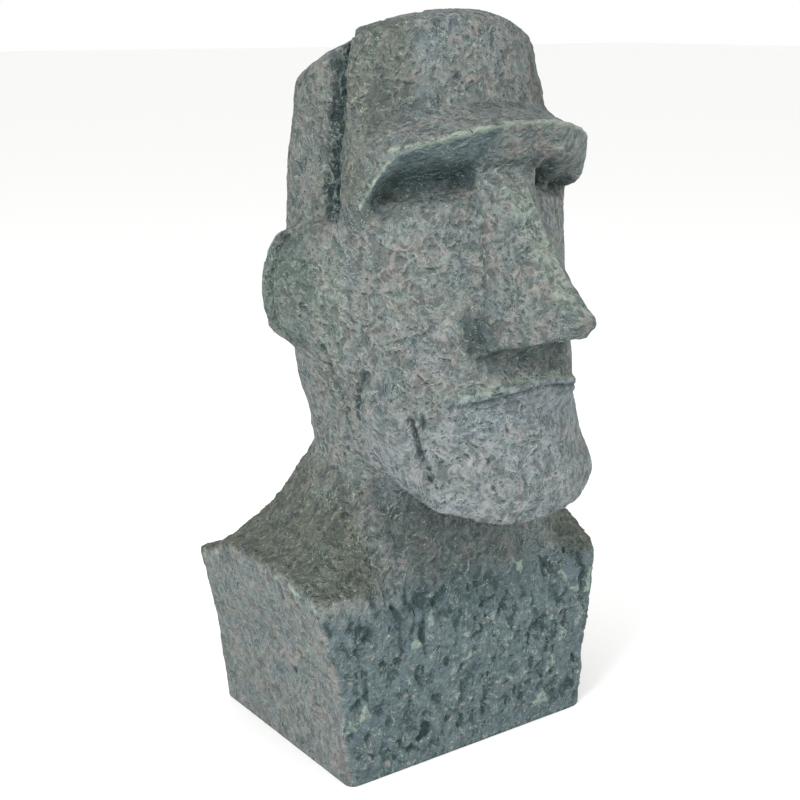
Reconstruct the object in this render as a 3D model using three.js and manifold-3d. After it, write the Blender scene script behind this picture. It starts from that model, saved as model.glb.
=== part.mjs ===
// Moai garden statue: a long stylised head on a block-shaped torso, cast in one piece.
// Millimetres, +Z up, the face towards -Y, the origin at the centre of the underside.
// The form is a signed field (negative inside) worked out from the named sizes below. The field is
// sampled on a grid, its surface is drawn through the cells, and plain stretches are thinned to
// larger facets.
import * as THREE from "three";
import { mergeVertices } from "three/addons/utils/BufferGeometryUtils.js";
import Module from "manifold-3d";

// ---------- Sizes, mm ----------
const HEIGHT = 610; // underside to the top of the crown
const BASE_WIDTH = 257; // across the torso at the underside
const BASE_DEPTH = 207; // front to back of the torso
const UNEVEN = 1.5; // hand-worked unevenness of every surface

const TORSO = {
  flareRight: 0.11, // the right side (-X) leans out by this much per mm of height
  flareLeft: 0.085, // the left side leans out less: it was worked by hand
  spread: 9, // extra spread of the right side under its shoulder
  spreadFrom: 80,
  spreadTo: 165,
  corner: 10, // rounding of the upright corners
  softCorner: 7, // further rounding of the front left corner
};

const SHOULDER = {
  level: 177, // the rim at mid depth
  rim: 7, // rounding along the rim
  backDrop: 25, // lower towards the back corners
  frontDropRight: 8, // lower towards the front right corner
  frontDropLeft: 26, // lower towards the front left corner
  chestDrop: 36, // lower in front, over the middle of the chest
  chestInner: 55, // the chest keeps its full drop out to here
  chestOuter: 125, // and none of it from here
  chestSoftness: 26, // further rounding of the chest edge
  sweep: 1.95, // how hollow the sweep from rim to neck is
  chestSweep: 1.5, // the same in front
  steepness: 0.6, // brings the steep sweep's height difference near to a distance
};

const NECK = {
  halfWidth: 80,
  front: 80, // reach forward of the origin
  back: 36, // reach behind it
  round: 44, // rounding of its corners in plan
  sweepTop: 275, // the sweep from the shoulders ends here
  top: 290,
  bottom: 100,
  merge: 12, // hollow where the sweep runs into the neck
  underJaw: 14, // hollow between neck and jaw
};

const HEAD = {
  backRound: 42, // rounding of the two upright edges at the back
  faceEdge: 8, // rounding between face and side
  crownEdge: 10, // rounding round the crown
  jawEdge: 7, // rounding under the jaw
  lean: 6, // the crown leans this far to its right
  leanFrom: 470,
  block: 6, // the top of the forehead block in front of the temple groove is this much wider
};

const CROWN = {
  camber: 19, // the top falls this much to the sides
  halfWidth: 90,
  step: 7, // the top is lower behind the forehead block
  stepAt: -48,
  backFall: 0.3, // and falls backwards by this slope
  frontFall: 0.1, // slope of the front part
  frontFrom: -80,
};

const JAW = {
  level: 228, // underside of the chin
  from: -180,
  rise: 0.17, // the jaw line climbs backwards by this slope
  sideRise: 8, // and sideways by this much at sideAt
  sideAt: 80,
};

const BROW = {
  reach: 166, // rim of the brow hood forward of the origin on the middle line
  sweep: 50, // it falls back this far at 100 mm out
  level: 532, // height of the rim on the middle line
  droop: 23, // it hangs this much lower at 100 mm out
  lip: 1, // thickness of the rim
  ledge: 14, // height of the slope above the rim on the middle line
  sideLedge: 26, // and at 100 mm out
  ledgeCurve: 2.2,
  forehead: 114, // reach of the forehead above the ledge
  foreheadFrom: 540,
  foreheadLean: 0.25, // the forehead falls back per mm of height
  turnFrom: 80, // from here outward the rim turns down and back to meet the side of the head
  turnOver: 25,
  turnDrop: [44, 28], // how far down it turns, on the right and on the left
  dropCurve: 3,
  turnBack: [25, 5], // how far back it turns, on the right and on the left
  backCurve: 1.6,
  sideEnd: [448, 470], // the hood's ends run out into the face here, on the right and on the left
  roofEnd: [486, 474], // the hood's underside meets the eye hollows here, on the right and on the left
  rootEnd: 496, // and the nose root here
  roofCurve: 1.3, // how hollow the underside is
  turnCurve: 2, // the same behind the turned rim
  lobe: 0.4, // how much fuller the left end of the hood is
};

const EYE = {
  cheekTop: 478, // top edge of the cheeks beside the nose
  droop: 17, // it falls this much towards the temples
  droopFrom: 35,
  droopOver: 65,
  edge: 8, // half height of the slope into the hollow
  roof: 512, // the hollow runs out here
  depth: 20,
  inner: 31, // the hollow starts this far from the middle line
  outer: 104, // and has run out here
  taper: 24, // the width over which it runs out
};

const NOSE = {
  ridge: 9, // half width of the flat ridge
  flankCurve: 1.15,
  halfWidth: 46, // across the wings
  under: 377, // underside on the middle line
  underDrop: 16, // the wings reach this much lower
  underSlope: 12, // height of the step under the nose
  wing: 9, // bulge of the wings
  wingAt: 34,
  wingLevel: 373,
  wingWidth: 11,
  wingHeight: 13,
};

const MOUTH = {
  level: 335, // slit between the lips on the middle line
  droop: 15, // the corners hang lower
  halfWidth: 63,
  lips: 5, // how far the lips stand out
  lipHeight: 7, // the upper lip ends this far over the slit
  lipEdge: 2, // half height of its edge
  philtrum: 10, // hollow under the nose
  philtrumLevel: 354,
  under: 5, // hollow under the lips
  underOffset: 21,
  hollowHeight: 12,
};

const EAR = {
  top: 444,
  bottom: 340,
  front: -58, // the slab leaves the side of the head here
  back: 14, // the rim
  proud: 26.5, // how far the rim stands out
  flattening: 0.3, // share of that lost at the top and bottom
  rise: 1.2, // how hollow the slab's slope is
  topSlope: 0.2, // the top edge climbs forwards
  hook: 15, // the rim curves forward this much at the top and bottom
  halfHeight: 52,
  groove: 5, // depth of the groove inside the rim
  grooveAt: 9, // its distance from the rim
  grooveWidth: 3.2,
};

const TEMPLE = {
  at: -44, // the upright groove on the side of the head
  halfWidth: 13,
  depth: 13,
  bottom: 440,
  runOut: 22,
};

// Profiles against height, as [height, value] stations with a smooth curve between them.
const HEAD_HALF_WIDTH = [[236, 80], [300, 96], [350, 105], [420, 108], [480, 105], [540, 97], [610, 80]];
const HEAD_BACK = [[256, 33], [300, 38], [345, 42], [420, 44], [540, 42], [610, 32]];
// Cheeks, mouth and chin: reach of the middle line, and how far they fall back at 100 mm out.
const FACE_REACH = [[236, 184], [252, 188], [280, 181], [340, 178], [370, 171], [403, 163], [475, 137]];
const FACE_FALL = [[236, 50], [252, 54], [280, 72], [340, 92], [370, 88], [403, 78], [440, 65], [475, 48]];
// Distance from the middle line of the crease between cheek and temple, and the turn behind it.
const CREASE_AT = [[330, 96], [361, 85], [400, 89], [450, 101], [480, 104]];
const CREASE_TURN = [[325, 0], [360, 0.7]];
const NOSE_RIDGE = [[360, 196], [377, 214], [391, 225], [400, 215], [416, 197], [440, 175], [495, 135]];
const NOSE_HALF_WIDTH = [[360, 44], [385, 45], [403, 40], [440, 34], [495, 24]];

// ---------- Meshing ----------
const CELL = 4.8; // sampling grid
const MARGIN = 12; // empty grid round the body
const TRIANGLES = 9300; // the thinned surface
const FACE_WEIGHT = 9; // the face keeps finer facets than the plain sides
const BELOW = 26; // the field runs this far under the ground plane, where it is cut off flat

// ---------- Small functions ----------
const clamp = (t, lo, hi) => Math.min(hi, Math.max(lo, t));
const mix = (a, b, t) => a + (b - a) * t;
const bump = (t, width) => Math.exp(-((t / width) ** 2));

function ease(from, to, t) {
  const s = clamp((t - from) / (to - from), 0, 1);
  return s * s * (3 - 2 * s);
}

// Smooth union and intersection of two fields; a square edge comes out rounded by about the radius.
function join(a, b, radius) {
  const k = 1.17 * radius;
  const h = clamp(0.5 + (0.5 * (b - a)) / k, 0, 1);
  return mix(b, a, h) - k * h * (1 - h);
}
const meet = (a, b, radius) => -join(-a, -b, radius);

// Distance outside a rounded rectangle of the given half sizes.
function roundedPlan(x, y, halfX, halfY, round) {
  const across = Math.abs(x) - halfX + round;
  const deep = Math.abs(y) - halfY + round;
  const outside = Math.hypot(Math.max(across, 0), Math.max(deep, 0));
  return outside + Math.min(Math.max(across, deep), 0) - round;
}

// A smooth curve through the stations of a profile that never overshoots them.
function curve(stations) {
  const last = stations.length - 1;
  const rise = stations.slice(1).map(([z, v], i) => (v - stations[i][1]) / (z - stations[i][0]));
  const slope = stations.map((_, i) => {
    if (i === 0 || i === last) return rise[Math.min(i, last - 1)];
    const turning = rise[i - 1] * rise[i] <= 0;
    return turning ? 0 : (2 * rise[i - 1] * rise[i]) / (rise[i - 1] + rise[i]);
  });
  return (z) => {
    if (z <= stations[0][0]) return stations[0][1];
    if (z >= stations[last][0]) return stations[last][1];
    const i = stations.findIndex(([height]) => height > z) - 1;
    const [from, start] = stations[i];
    const [to, end] = stations[i + 1];
    const h = to - from;
    const t = (z - from) / h;
    const s = 1 - t;
    const leaving = (1 + 2 * t) * start + t * h * slope[i];
    const arriving = (1 + 2 * s) * end - s * h * slope[i + 1];
    return s * s * leaving + t * t * arriving;
  };
}
const headHalfWidth = curve(HEAD_HALF_WIDTH);
const headBack = curve(HEAD_BACK);
const faceReach = curve(FACE_REACH);
const faceFall = curve(FACE_FALL);
const creaseAt = curve(CREASE_AT);
const creaseTurn = curve(CREASE_TURN);
const noseRidge = curve(NOSE_RIDGE);
const noseHalfWidth = curve(NOSE_HALF_WIDTH);

// ---------- Torso and neck ----------
const neckPlan = (x, y) =>
  roundedPlan(x, y - (NECK.back - NECK.front) / 2, NECK.halfWidth, (NECK.back + NECK.front) / 2, NECK.round);

// 1 over the middle of the chest, 0 at the shoulders and behind.
const chestShare = (x, y) =>
  ease(-40, -85, y) * ease(SHOULDER.chestOuter, SHOULDER.chestInner, Math.abs(x));

// The top of the torso: a rim round the outside, swept up in a hollow curve to the neck.
// inward is the distance from the nearest outer wall.
function shoulderHeight(x, y, inward) {
  const chest = chestShare(x, y);
  const corner = mix(SHOULDER.frontDropRight, SHOULDER.frontDropLeft, ease(-60, 120, x));
  const front = mix(corner * ease(-45, -105, y), SHOULDER.chestDrop, chest);
  const drop = front + SHOULDER.backDrop * ease(25, 105, y);
  const rim = SHOULDER.level - drop;
  const outward = Math.max(neckPlan(x, y), 0);
  const share = outward / (outward + Math.max(inward, 0) + 0.01);
  return rim + (NECK.sweepTop - rim) * (1 - share) ** mix(SHOULDER.sweep, SHOULDER.chestSweep, chest);
}

function torso(x, y, z) {
  const right = TORSO.flareRight * z + TORSO.spread * ease(TORSO.spreadFrom, TORSO.spreadTo, z);
  const side = Math.abs(x) - BASE_WIDTH / 2 - (x < 0 ? right : TORSO.flareLeft * z);
  const ends = Math.abs(y) - BASE_DEPTH / 2;
  const walls = meet(side, ends, TORSO.corner + TORSO.softCorner * ease(60, 120, x) * ease(0, -60, y));
  const top = (z - shoulderHeight(x, y, -walls)) * SHOULDER.steepness;
  return meet(walls, top, SHOULDER.rim + SHOULDER.chestSoftness * chestShare(x, y));
}

const neck = (x, y, z) => Math.max(neckPlan(x, y), z - NECK.top, NECK.bottom - z);

// ---------- Face ----------
// Each function gives how far the face reaches forward of the origin; u is the distance from the
// middle line.
function cheek(u, z) {
  const behindCrease = Math.max(0, u - creaseAt(z)) * creaseTurn(z);
  return faceReach(z) - faceFall(z) * (u / 100) ** 2 - behindCrease;
}

function mouth(u, z) {
  const line = MOUTH.level - MOUTH.droop * (u / MOUTH.halfWidth) ** 1.6;
  const across = ease(MOUTH.halfWidth + 6, MOUTH.halfWidth - 16, u);
  const upper = ease(MOUTH.lipHeight + MOUTH.lipEdge, MOUTH.lipHeight - MOUTH.lipEdge, z - line);
  const lips = MOUTH.lips * upper * ease(-MOUTH.lipHeight - MOUTH.lipEdge, 0, z - line) * across;
  const philtrum = MOUTH.philtrum * bump(z - MOUTH.philtrumLevel, MOUTH.hollowHeight) * ease(52, 20, u);
  const under = MOUTH.under * bump(z - line + MOUTH.underOffset, MOUTH.hollowHeight) * ease(70, 30, u);
  return lips - philtrum - under;
}

function nose(u, z, flat) {
  const share = clamp((u - NOSE.ridge) / (noseHalfWidth(z) - NOSE.ridge), 0, 1);
  const flank = mix(noseRidge(z), flat, share ** NOSE.flankCurve);
  const wing = NOSE.wing * bump(u - NOSE.wingAt, NOSE.wingWidth) * bump(z - NOSE.wingLevel, NOSE.wingHeight);
  const under = NOSE.under - NOSE.underDrop * (u / NOSE.halfWidth) ** 2;
  return mix(flat, Math.max(flank, flat) + wing, ease(under - NOSE.underSlope + 2, under + 2, z));
}

// The hollows behind the top edge of the cheeks.
function eyeHollow(u, z) {
  const edge = EYE.cheekTop - EYE.droop * clamp((u - EYE.droopFrom) / EYE.droopOver, 0, 1.2) ** 1.5;
  const upright = ease(edge - EYE.edge, edge + EYE.edge, z) * ease(EYE.roof, edge + 8, z);
  const across = ease(EYE.inner - 5, EYE.inner + 5, u) * ease(EYE.outer, EYE.outer - EYE.taper, u);
  return EYE.depth * upright * across;
}

// The brow hood: forehead above, a ledge down to the rim, and a vault under the rim back to the face.
// left is 1 on the left half of the head and 0 on the right.
function brow(u, z, left, face) {
  const out = (u / 100) ** 2;
  const turn = clamp((u - BROW.turnFrom) / BROW.turnOver, 0, 1);
  const rim = BROW.reach - BROW.sweep * out - mix(...BROW.turnBack, left) * turn ** BROW.backCurve;
  const level = BROW.level - BROW.droop * out;
  const edge = level - BROW.lip - mix(...BROW.turnDrop, left) * turn ** BROW.dropCurve;
  if (z >= edge) {
    const forehead = BROW.forehead - BROW.sweep * out - BROW.foreheadLean * (z - BROW.foreheadFrom);
    const t = clamp((z - level) / mix(BROW.ledge, BROW.sideLedge, out), 0, 1);
    return mix(forehead, rim, (1 - t) ** BROW.ledgeCurve);
  }
  const beside = ease(20, 50, u);
  const roofEnd = mix(BROW.rootEnd, mix(...BROW.roofEnd, left), beside);
  const end = mix(roofEnd, mix(...BROW.sideEnd, left), turn);
  const t = clamp((edge - z) / (edge - end), 0, 1);
  const hollow = 1 - (1 - t) ** mix(BROW.roofCurve, BROW.turnCurve, turn);
  const lobed = mix(t, t ** 5, BROW.lobe);
  return mix(rim, face, mix(t, mix(hollow, lobed, left), beside));
}

function face(u, z, left) {
  const carved = nose(u, z, cheek(u, z) + mouth(u, z)) - eyeHollow(u, z);
  return z > Math.min(...BROW.sideEnd) ? brow(u, z, left, carved) : carved;
}

// ---------- Side of the head: how far it reaches outward ----------
function ear(y, z) {
  const out = Math.abs(z - (EAR.top + EAR.bottom) / 2) / EAR.halfHeight;
  const back = EAR.back - EAR.hook * out ** 3;
  const rise = clamp((y - EAR.front) / (EAR.back - EAR.front), 0, 1) ** EAR.rise;
  const slab = EAR.proud * (1 - EAR.flattening * out ** 2) * rise * ease(back + 4, back - 1, y);
  const inRim = bump(y - back + EAR.grooveAt, EAR.grooveWidth) * ease(EAR.bottom + 8, EAR.bottom + 26, z);
  const top = ease(EAR.top + 4, EAR.top - 5, z + EAR.topSlope * y);
  return (slab - EAR.groove * inRim) * top * ease(EAR.bottom - 4, EAR.bottom + 26, z);
}

function sideReach(y, z) {
  const above = ease(TEMPLE.bottom, TEMPLE.bottom + TEMPLE.runOut, z);
  const groove = TEMPLE.depth * bump(y - TEMPLE.at, TEMPLE.halfWidth);
  const block = HEAD.block * ease(TEMPLE.at, TEMPLE.at - 8, y) * ease(BROW.level, HEIGHT, z);
  return headHalfWidth(z) + block - groove * above + ear(y, z);
}

// ---------- Head ----------
function crownHeight(x, y) {
  const step = CROWN.step * ease(CROWN.stepAt - 7, CROWN.stepAt + 7, y);
  const backFall = CROWN.backFall * Math.max(0, y - CROWN.stepAt);
  const frontFall = CROWN.frontFall * Math.max(0, CROWN.frontFrom - y);
  return HEIGHT - CROWN.camber * (x / CROWN.halfWidth) ** 2 - step - backFall - frontFall;
}

function head(worldX, y, z) {
  const x = worldX + HEAD.lean * ease(HEAD.leanFrom, HEIGHT, z);
  const u = Math.abs(x);
  const jaw = JAW.level + JAW.rise * (y - JAW.from) + JAW.sideRise * (x / JAW.sideAt) ** 2;
  const front = meet(u - sideReach(y, z), -y - face(u, z, ease(-20, 20, x)), HEAD.faceEdge);
  const upright = meet(front, y - headBack(z), HEAD.backRound);
  return meet(meet(upright, z - crownHeight(x, y), HEAD.crownEdge), jaw - z, HEAD.jawEdge);
}

// ---------- Whole body ----------
function unevenness(x, y, z) {
  const a = Math.sin(x / 17.3 + 1.3 * Math.sin(z / 29.1)) * Math.sin(y / 19.7 + z / 41.3);
  const b = Math.sin(z / 13.1 + 1.1 * Math.sin((x + y) / 23.9)) * Math.cos((x - y) / 21.7);
  return (UNEVEN / 2) * (a + b) * ease(0, 60, z);
}

function body(x, y, z) {
  const trunk = join(torso(x, y, z), neck(x, y, z), NECK.merge);
  const whole = join(trunk, head(x, y, z), NECK.underJaw);
  return Math.max(whole + unevenness(x, y, z), -z - BELOW);
}

// ---------- Surface of a field ----------
function steps(from, to) {
  const count = Math.ceil((to - from) / CELL);
  return Array.from({ length: count + 1 }, (_, i) => mix(from, to, i / count));
}

// Two sheets of the surface can't share a grid square: where only its diagonal corners are inside,
// a third corner joins them.
function joinDiagonals(values, [nx, ny, nz]) {
  const stride = [1, nx, nx * ny];
  const squares = [[stride[0], stride[1]], [stride[1], stride[2]], [stride[0], stride[2]]];
  const inside = (at) => values[at] < 0;
  let changed = true;
  while (changed) {
    changed = false;
    for (let here = 0; here < nx * ny * (nz - 1) - nx - 1; here += 1)
      for (const [p, q] of squares) {
        const diagonal = inside(here) === inside(here + p + q) && inside(here + p) === inside(here + q);
        if (!diagonal || inside(here) === inside(here + p)) continue;
        const [a, b] = inside(here) ? [here + p, here + q] : [here, here + p + q];
        values[values[a] < values[b] ? a : b] = -1e-3;
        changed = true;
      }
  }
}

// Surface nets: one point in each grid cell that the surface passes, one quad across each crossed edge.
function polygonise(field, xs, ys, zs) {
  const [nx, ny, nz] = [xs.length, ys.length, zs.length];
  const at = (i, j, k) => i + nx * (j + ny * k);
  const values = new Float64Array(nx * ny * nz);
  zs.forEach((z, k) => ys.forEach((y, j) => xs.forEach((x, i) => (values[at(i, j, k)] = field(x, y, z)))));
  joinDiagonals(values, [nx, ny, nz]);

  const places = Array.from({ length: 8 }, (_, c) => [c & 1, (c >> 1) & 1, c >> 2]);
  const edges = places.flatMap((_, a) => [1, 2, 4].filter((bit) => !(a & bit)).map((bit) => [a, a | bit]));
  const points = [];
  const cellPoint = new Int32Array(values.length).fill(-1);
  for (let k = 0; k < nz - 1; k += 1)
    for (let j = 0; j < ny - 1; j += 1)
      for (let i = 0; i < nx - 1; i += 1) {
        const corner = places.map(([a, b, c]) => values[at(i + a, j + b, k + c)]);
        const crossed = edges.filter(([a, b]) => corner[a] < 0 !== corner[b] < 0);
        if (!crossed.length) continue;
        const sum = [0, 0, 0];
        for (const [a, b] of crossed) {
          const t = corner[a] / (corner[a] - corner[b]);
          for (let axis = 0; axis < 3; axis += 1) sum[axis] += mix(places[a][axis], places[b][axis], t);
        }
        const [u, v, w] = sum.map((s) => s / crossed.length);
        cellPoint[at(i, j, k)] = points.length;
        points.push([mix(xs[i], xs[i + 1], u), mix(ys[j], ys[j + 1], v), mix(zs[k], zs[k + 1], w)]);
      }

  const faces = [];
  const stride = [1, nx, nx * ny];
  for (let k = 1; k < nz - 1; k += 1)
    for (let j = 1; j < ny - 1; j += 1)
      for (let i = 1; i < nx - 1; i += 1)
        for (let axis = 0; axis < 3; axis += 1) {
          const here = at(i, j, k);
          const inside = values[here] < 0;
          if (inside === values[here + stride[axis]] < 0) continue;
          const [p, q] = [stride[(axis + 1) % 3], stride[(axis + 2) % 3]];
          const ring = [here - p - q, here - q, here, here - p].map((cell) => cellPoint[cell]);
          if (!inside) ring.reverse();
          faces.push([ring[0], ring[1], ring[2]], [ring[0], ring[2], ring[3]]);
        }
  return { points, faces };
}

function gradient(field, [x, y, z]) {
  const e = 0.4;
  return [
    (field(x + e, y, z) - field(x - e, y, z)) / (2 * e),
    (field(x, y + e, z) - field(x, y - e, z)) / (2 * e),
    (field(x, y, z + e) - field(x, y, z - e)) / (2 * e),
  ];
}

// Draws every point onto the zero level of the field, at most a third of a cell at a time.
function settle(field, points, rounds) {
  for (const p of points)
    for (let round = 0; round < rounds; round += 1) {
      const g = gradient(field, p);
      const length = Math.hypot(...g) + 1e-9;
      const move = clamp(field(...p) / length, -CELL / 3, CELL / 3);
      for (let axis = 0; axis < 3; axis += 1) p[axis] -= (g[axis] / length) * move;
    }
}

// ---------- Thinning: the cheapest edges collapse first, by quadric error ----------
const minus = (a, b) => a.map((v, i) => v - b[i]);
const dot = (a, b) => a[0] * b[0] + a[1] * b[1] + a[2] * b[2];
const cross = (a, b) => [a[1] * b[2] - a[2] * b[1], a[2] * b[0] - a[0] * b[2], a[0] * b[1] - a[1] * b[0]];
const faceNormal = ([a, b, c]) => cross(minus(b, a), minus(c, a));

// Ten numbers of the symmetric matrix that measures the squared distance to a plane.
function planeQuadric([a, b, c], d, weight) {
  return [a * a, a * b, a * c, a * d, b * b, b * c, b * d, c * c, c * d, d * d].map((v) => v * weight);
}

function quadricError(q, [x, y, z]) {
  const mixed = q[1] * x * y + q[2] * x * z + q[3] * x + q[5] * y * z + q[6] * y + q[8] * z;
  return q[0] * x * x + q[4] * y * y + q[7] * z * z + q[9] + 2 * mixed;
}

// The place of least error, or the middle of the edge where that isn't well defined.
function bestPlace(q, middle, reach) {
  const columns = [[q[0], q[1], q[2]], [q[1], q[4], q[5]], [q[2], q[5], q[7]]];
  const determinant = dot(columns[0], cross(columns[1], columns[2]));
  const size = q[0] + q[4] + q[7];
  if (Math.abs(determinant) < 1e-3 * size ** 3) return middle;
  const right = [-q[3], -q[6], -q[8]];
  const place = [0, 1, 2].map((i) => {
    const swapped = columns.map((column, c) => (c === i ? right : column));
    return dot(swapped[0], cross(swapped[1], swapped[2])) / determinant;
  });
  return Math.hypot(...minus(place, middle)) > reach ? middle : place;
}

// Entries with a cost, taken out cheapest first.
class CostHeap {
  entries = [];

  swap(i, j) {
    [this.entries[i], this.entries[j]] = [this.entries[j], this.entries[i]];
  }

  push(entry) {
    this.entries.push(entry);
    let i = this.entries.length - 1;
    while (i > 0 && this.entries[(i - 1) >> 1].cost > this.entries[i].cost) {
      this.swap(i, (i - 1) >> 1);
      i = (i - 1) >> 1;
    }
  }

  pop() {
    this.swap(0, this.entries.length - 1);
    const cheapest = this.entries.pop();
    let i = 0;
    for (;;) {
      const children = [2 * i + 1, 2 * i + 2].filter((c) => c < this.entries.length);
      const least = children.reduce((a, b) => (this.entries[b].cost < this.entries[a].cost ? b : a), i);
      if (least === i) return cheapest;
      this.swap(i, least);
      i = least;
    }
  }
}

function thin(points, faces, target, weightAt) {
  const quadrics = points.map(() => new Array(10).fill(0));
  const around = points.map(() => new Set());
  faces.forEach((face, f) => {
    const normal = faceNormal(face.map((v) => points[v]));
    const length = Math.hypot(...normal);
    const unit = normal.map((v) => v / length);
    const origin = points[face[0]];
    const q = planeQuadric(unit, -dot(unit, origin), (length / 2) * weightAt(origin));
    for (const v of face) {
      around[v].add(f);
      quadrics[v] = quadrics[v].map((value, i) => value + q[i]);
    }
  });

  const changes = new Int32Array(points.length); // -1 once a point is gone
  const heap = new CostHeap();
  const neighbours = (v) => new Set([...around[v]].flatMap((f) => faces[f]).filter((w) => w !== v));
  const offer = (a, b) => {
    const q = quadrics[a].map((v, i) => v + quadrics[b][i]);
    const middle = points[a].map((v, i) => (v + points[b][i]) / 2);
    const apart = Math.hypot(...minus(points[a], points[b]));
    const place = bestPlace(q, middle, apart);
    const cost = quadricError(q, place) + 1e-4 * apart ** 2;
    heap.push({ cost, a, b, place, seen: [changes[a], changes[b]] });
  };
  // Whether moving point v to a place turns a face over or squeezes it to a sliver.
  const spoils = (v, gone, place) =>
    [...around[v]].some((f) => {
      if (faces[f].includes(gone)) return false;
      const before = faceNormal(faces[f].map((w) => points[w]));
      const corners = faces[f].map((w) => (w === v ? place : points[w]));
      const after = faceNormal(corners);
      const longest = Math.max(...corners.map((p, i) => Math.hypot(...minus(p, corners[(i + 1) % 3]))));
      const size = Math.hypot(...after);
      return dot(before, after) < 0.3 * Math.hypot(...before) * size || size < 0.12 * longest ** 2;
    });

  points.forEach((_, v) => neighbours(v).forEach((w) => v < w && offer(v, w)));
  const alive = new Set(faces.keys());
  while (alive.size > target && heap.entries.length) {
    const { a, b, place, seen } = heap.pop();
    if (changes[a] !== seen[0] || changes[b] !== seen[1]) continue;
    const others = neighbours(b);
    const shared = [...neighbours(a)].filter((w) => others.has(w));
    if (shared.length !== 2 || spoils(a, b, place) || spoils(b, a, place)) continue;
    points[a] = place;
    quadrics[a] = quadrics[a].map((v, i) => v + quadrics[b][i]);
    for (const f of around[b]) {
      if (faces[f].includes(a)) {
        alive.delete(f);
        faces[f].forEach((w) => w !== b && around[w].delete(f));
      } else {
        faces[f] = faces[f].map((w) => (w === b ? a : w));
        around[a].add(f);
      }
    }
    changes[b] = -1;
    changes[a] += 1;
    neighbours(a).forEach((w) => offer(a, w));
  }
  return [...alive].map((f) => faces[f]);
}

// ---------- Solid ----------
const wasm = await Module();
wasm.setup();

function solidOf(positions, indices) {
  const vertProperties = new Float32Array(positions);
  const triVerts = new Uint32Array(indices);
  return new wasm.Manifold(new wasm.Mesh({ numProp: 3, vertProperties, triVerts }));
}

// Fine facets where the carving is.
const facetWeight = ([x, y, z]) => (y < -70 && z > 225 && z < 560 && Math.abs(x) < 112 ? FACE_WEIGHT : 1);

function castBody() {
  const halfWidth = BASE_WIDTH / 2 + TORSO.flareRight * SHOULDER.level + TORSO.spread + MARGIN;
  const foremost = Math.max(...NOSE_RIDGE.map(([, reach]) => reach)) + MARGIN;
  const xs = steps(-halfWidth, halfWidth);
  const ys = steps(-foremost, BASE_DEPTH / 2 + MARGIN);
  const zs = steps(-BELOW - MARGIN, HEIGHT + MARGIN);
  const { points, faces } = polygonise(body, xs, ys, zs);
  settle(body, points, 4);
  const kept = thin(points, faces, TRIANGLES, facetWeight);
  const used = [...new Set(kept.flat())];
  const place = new Map(used.map((v, i) => [v, i]));
  const drawn = used.map((v) => points[v]);
  settle(body, drawn, 2);
  return solidOf(drawn.flat(), kept.flat().map((v) => place.get(v)));
}

// A block under the ground plane; taking it away leaves the flat underside.
function groundBlock() {
  const box = new THREE.BoxGeometry(4 * BASE_WIDTH, 4 * BASE_WIDTH, 4 * BELOW);
  box.translate(0, 0, -2 * BELOW);
  box.deleteAttribute("normal");
  box.deleteAttribute("uv");
  const merged = mergeVertices(box);
  return solidOf(merged.attributes.position.array, merged.index.array);
}

const finished = castBody().subtract(groundBlock()).getMesh();
const geometry = new THREE.BufferGeometry();
geometry.setAttribute("position", new THREE.BufferAttribute(finished.vertProperties, 3));
geometry.setIndex(new THREE.BufferAttribute(finished.triVerts, 1));
geometry.computeVertexNormals();

const castStone = new THREE.MeshStandardMaterial({ color: "#7b8583", roughness: 0.92, metalness: 0 });
const statue = new THREE.Mesh(geometry, castStone);
statue.name = "moai_statue";

const part = new THREE.Group();
part.name = "moai_garden_statue";
part.add(statue);

export default part;
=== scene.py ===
"""Looks of a moai garden statue: a stone-like casting with a hand-worked, dry-brushed crust.

The casting's form is a signed field (negative inside) in millimetres. Its surface is drawn on a grid,
roughened with a worked crust, thinned where it is plain, and given procedural materials. The file is
laid out as an add-on with one operator for each piece, and is run as a script.
"""

import itertools
import math

import bpy
import numpy as np
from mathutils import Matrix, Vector


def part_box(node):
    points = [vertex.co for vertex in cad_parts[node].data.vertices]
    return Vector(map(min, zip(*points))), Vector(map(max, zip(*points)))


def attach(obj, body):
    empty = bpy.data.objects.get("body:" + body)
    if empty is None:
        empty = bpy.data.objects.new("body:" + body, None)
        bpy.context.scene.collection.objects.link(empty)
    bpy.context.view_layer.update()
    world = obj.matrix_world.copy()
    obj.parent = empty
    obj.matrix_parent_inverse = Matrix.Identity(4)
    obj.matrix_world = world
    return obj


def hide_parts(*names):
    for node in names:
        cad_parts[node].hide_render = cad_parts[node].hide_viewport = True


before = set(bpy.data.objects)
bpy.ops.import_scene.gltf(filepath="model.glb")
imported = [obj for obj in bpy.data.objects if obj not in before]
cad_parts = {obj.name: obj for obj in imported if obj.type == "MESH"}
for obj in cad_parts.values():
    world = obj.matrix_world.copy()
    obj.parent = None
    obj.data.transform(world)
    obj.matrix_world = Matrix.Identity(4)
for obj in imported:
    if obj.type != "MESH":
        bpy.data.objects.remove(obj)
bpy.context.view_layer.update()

bl_info = {
    "name": "Moai garden statue",
    "version": (1, 0, 0),
    "blender": (4, 5, 0),
    "location": "3D View > Sidebar > Statue",
    "description": "Builds a cast moai statue with a worked crust, on a pale studio floor",
    "category": "Add Mesh",
}

NODE = "moai_statue"
LOW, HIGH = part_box(NODE)

# ---------- Form, mm: the same named sizes as the solid it stands for ----------
HEIGHT = 610  # underside to the top of the crown
BASE_WIDTH = 257  # across the torso at the underside
BASE_DEPTH = 207  # front to back of the torso
UNEVEN = 1.5  # hand-worked unevenness of every surface
FOOT_EDGE = 1.5  # worn rounding of the lower edge

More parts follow.
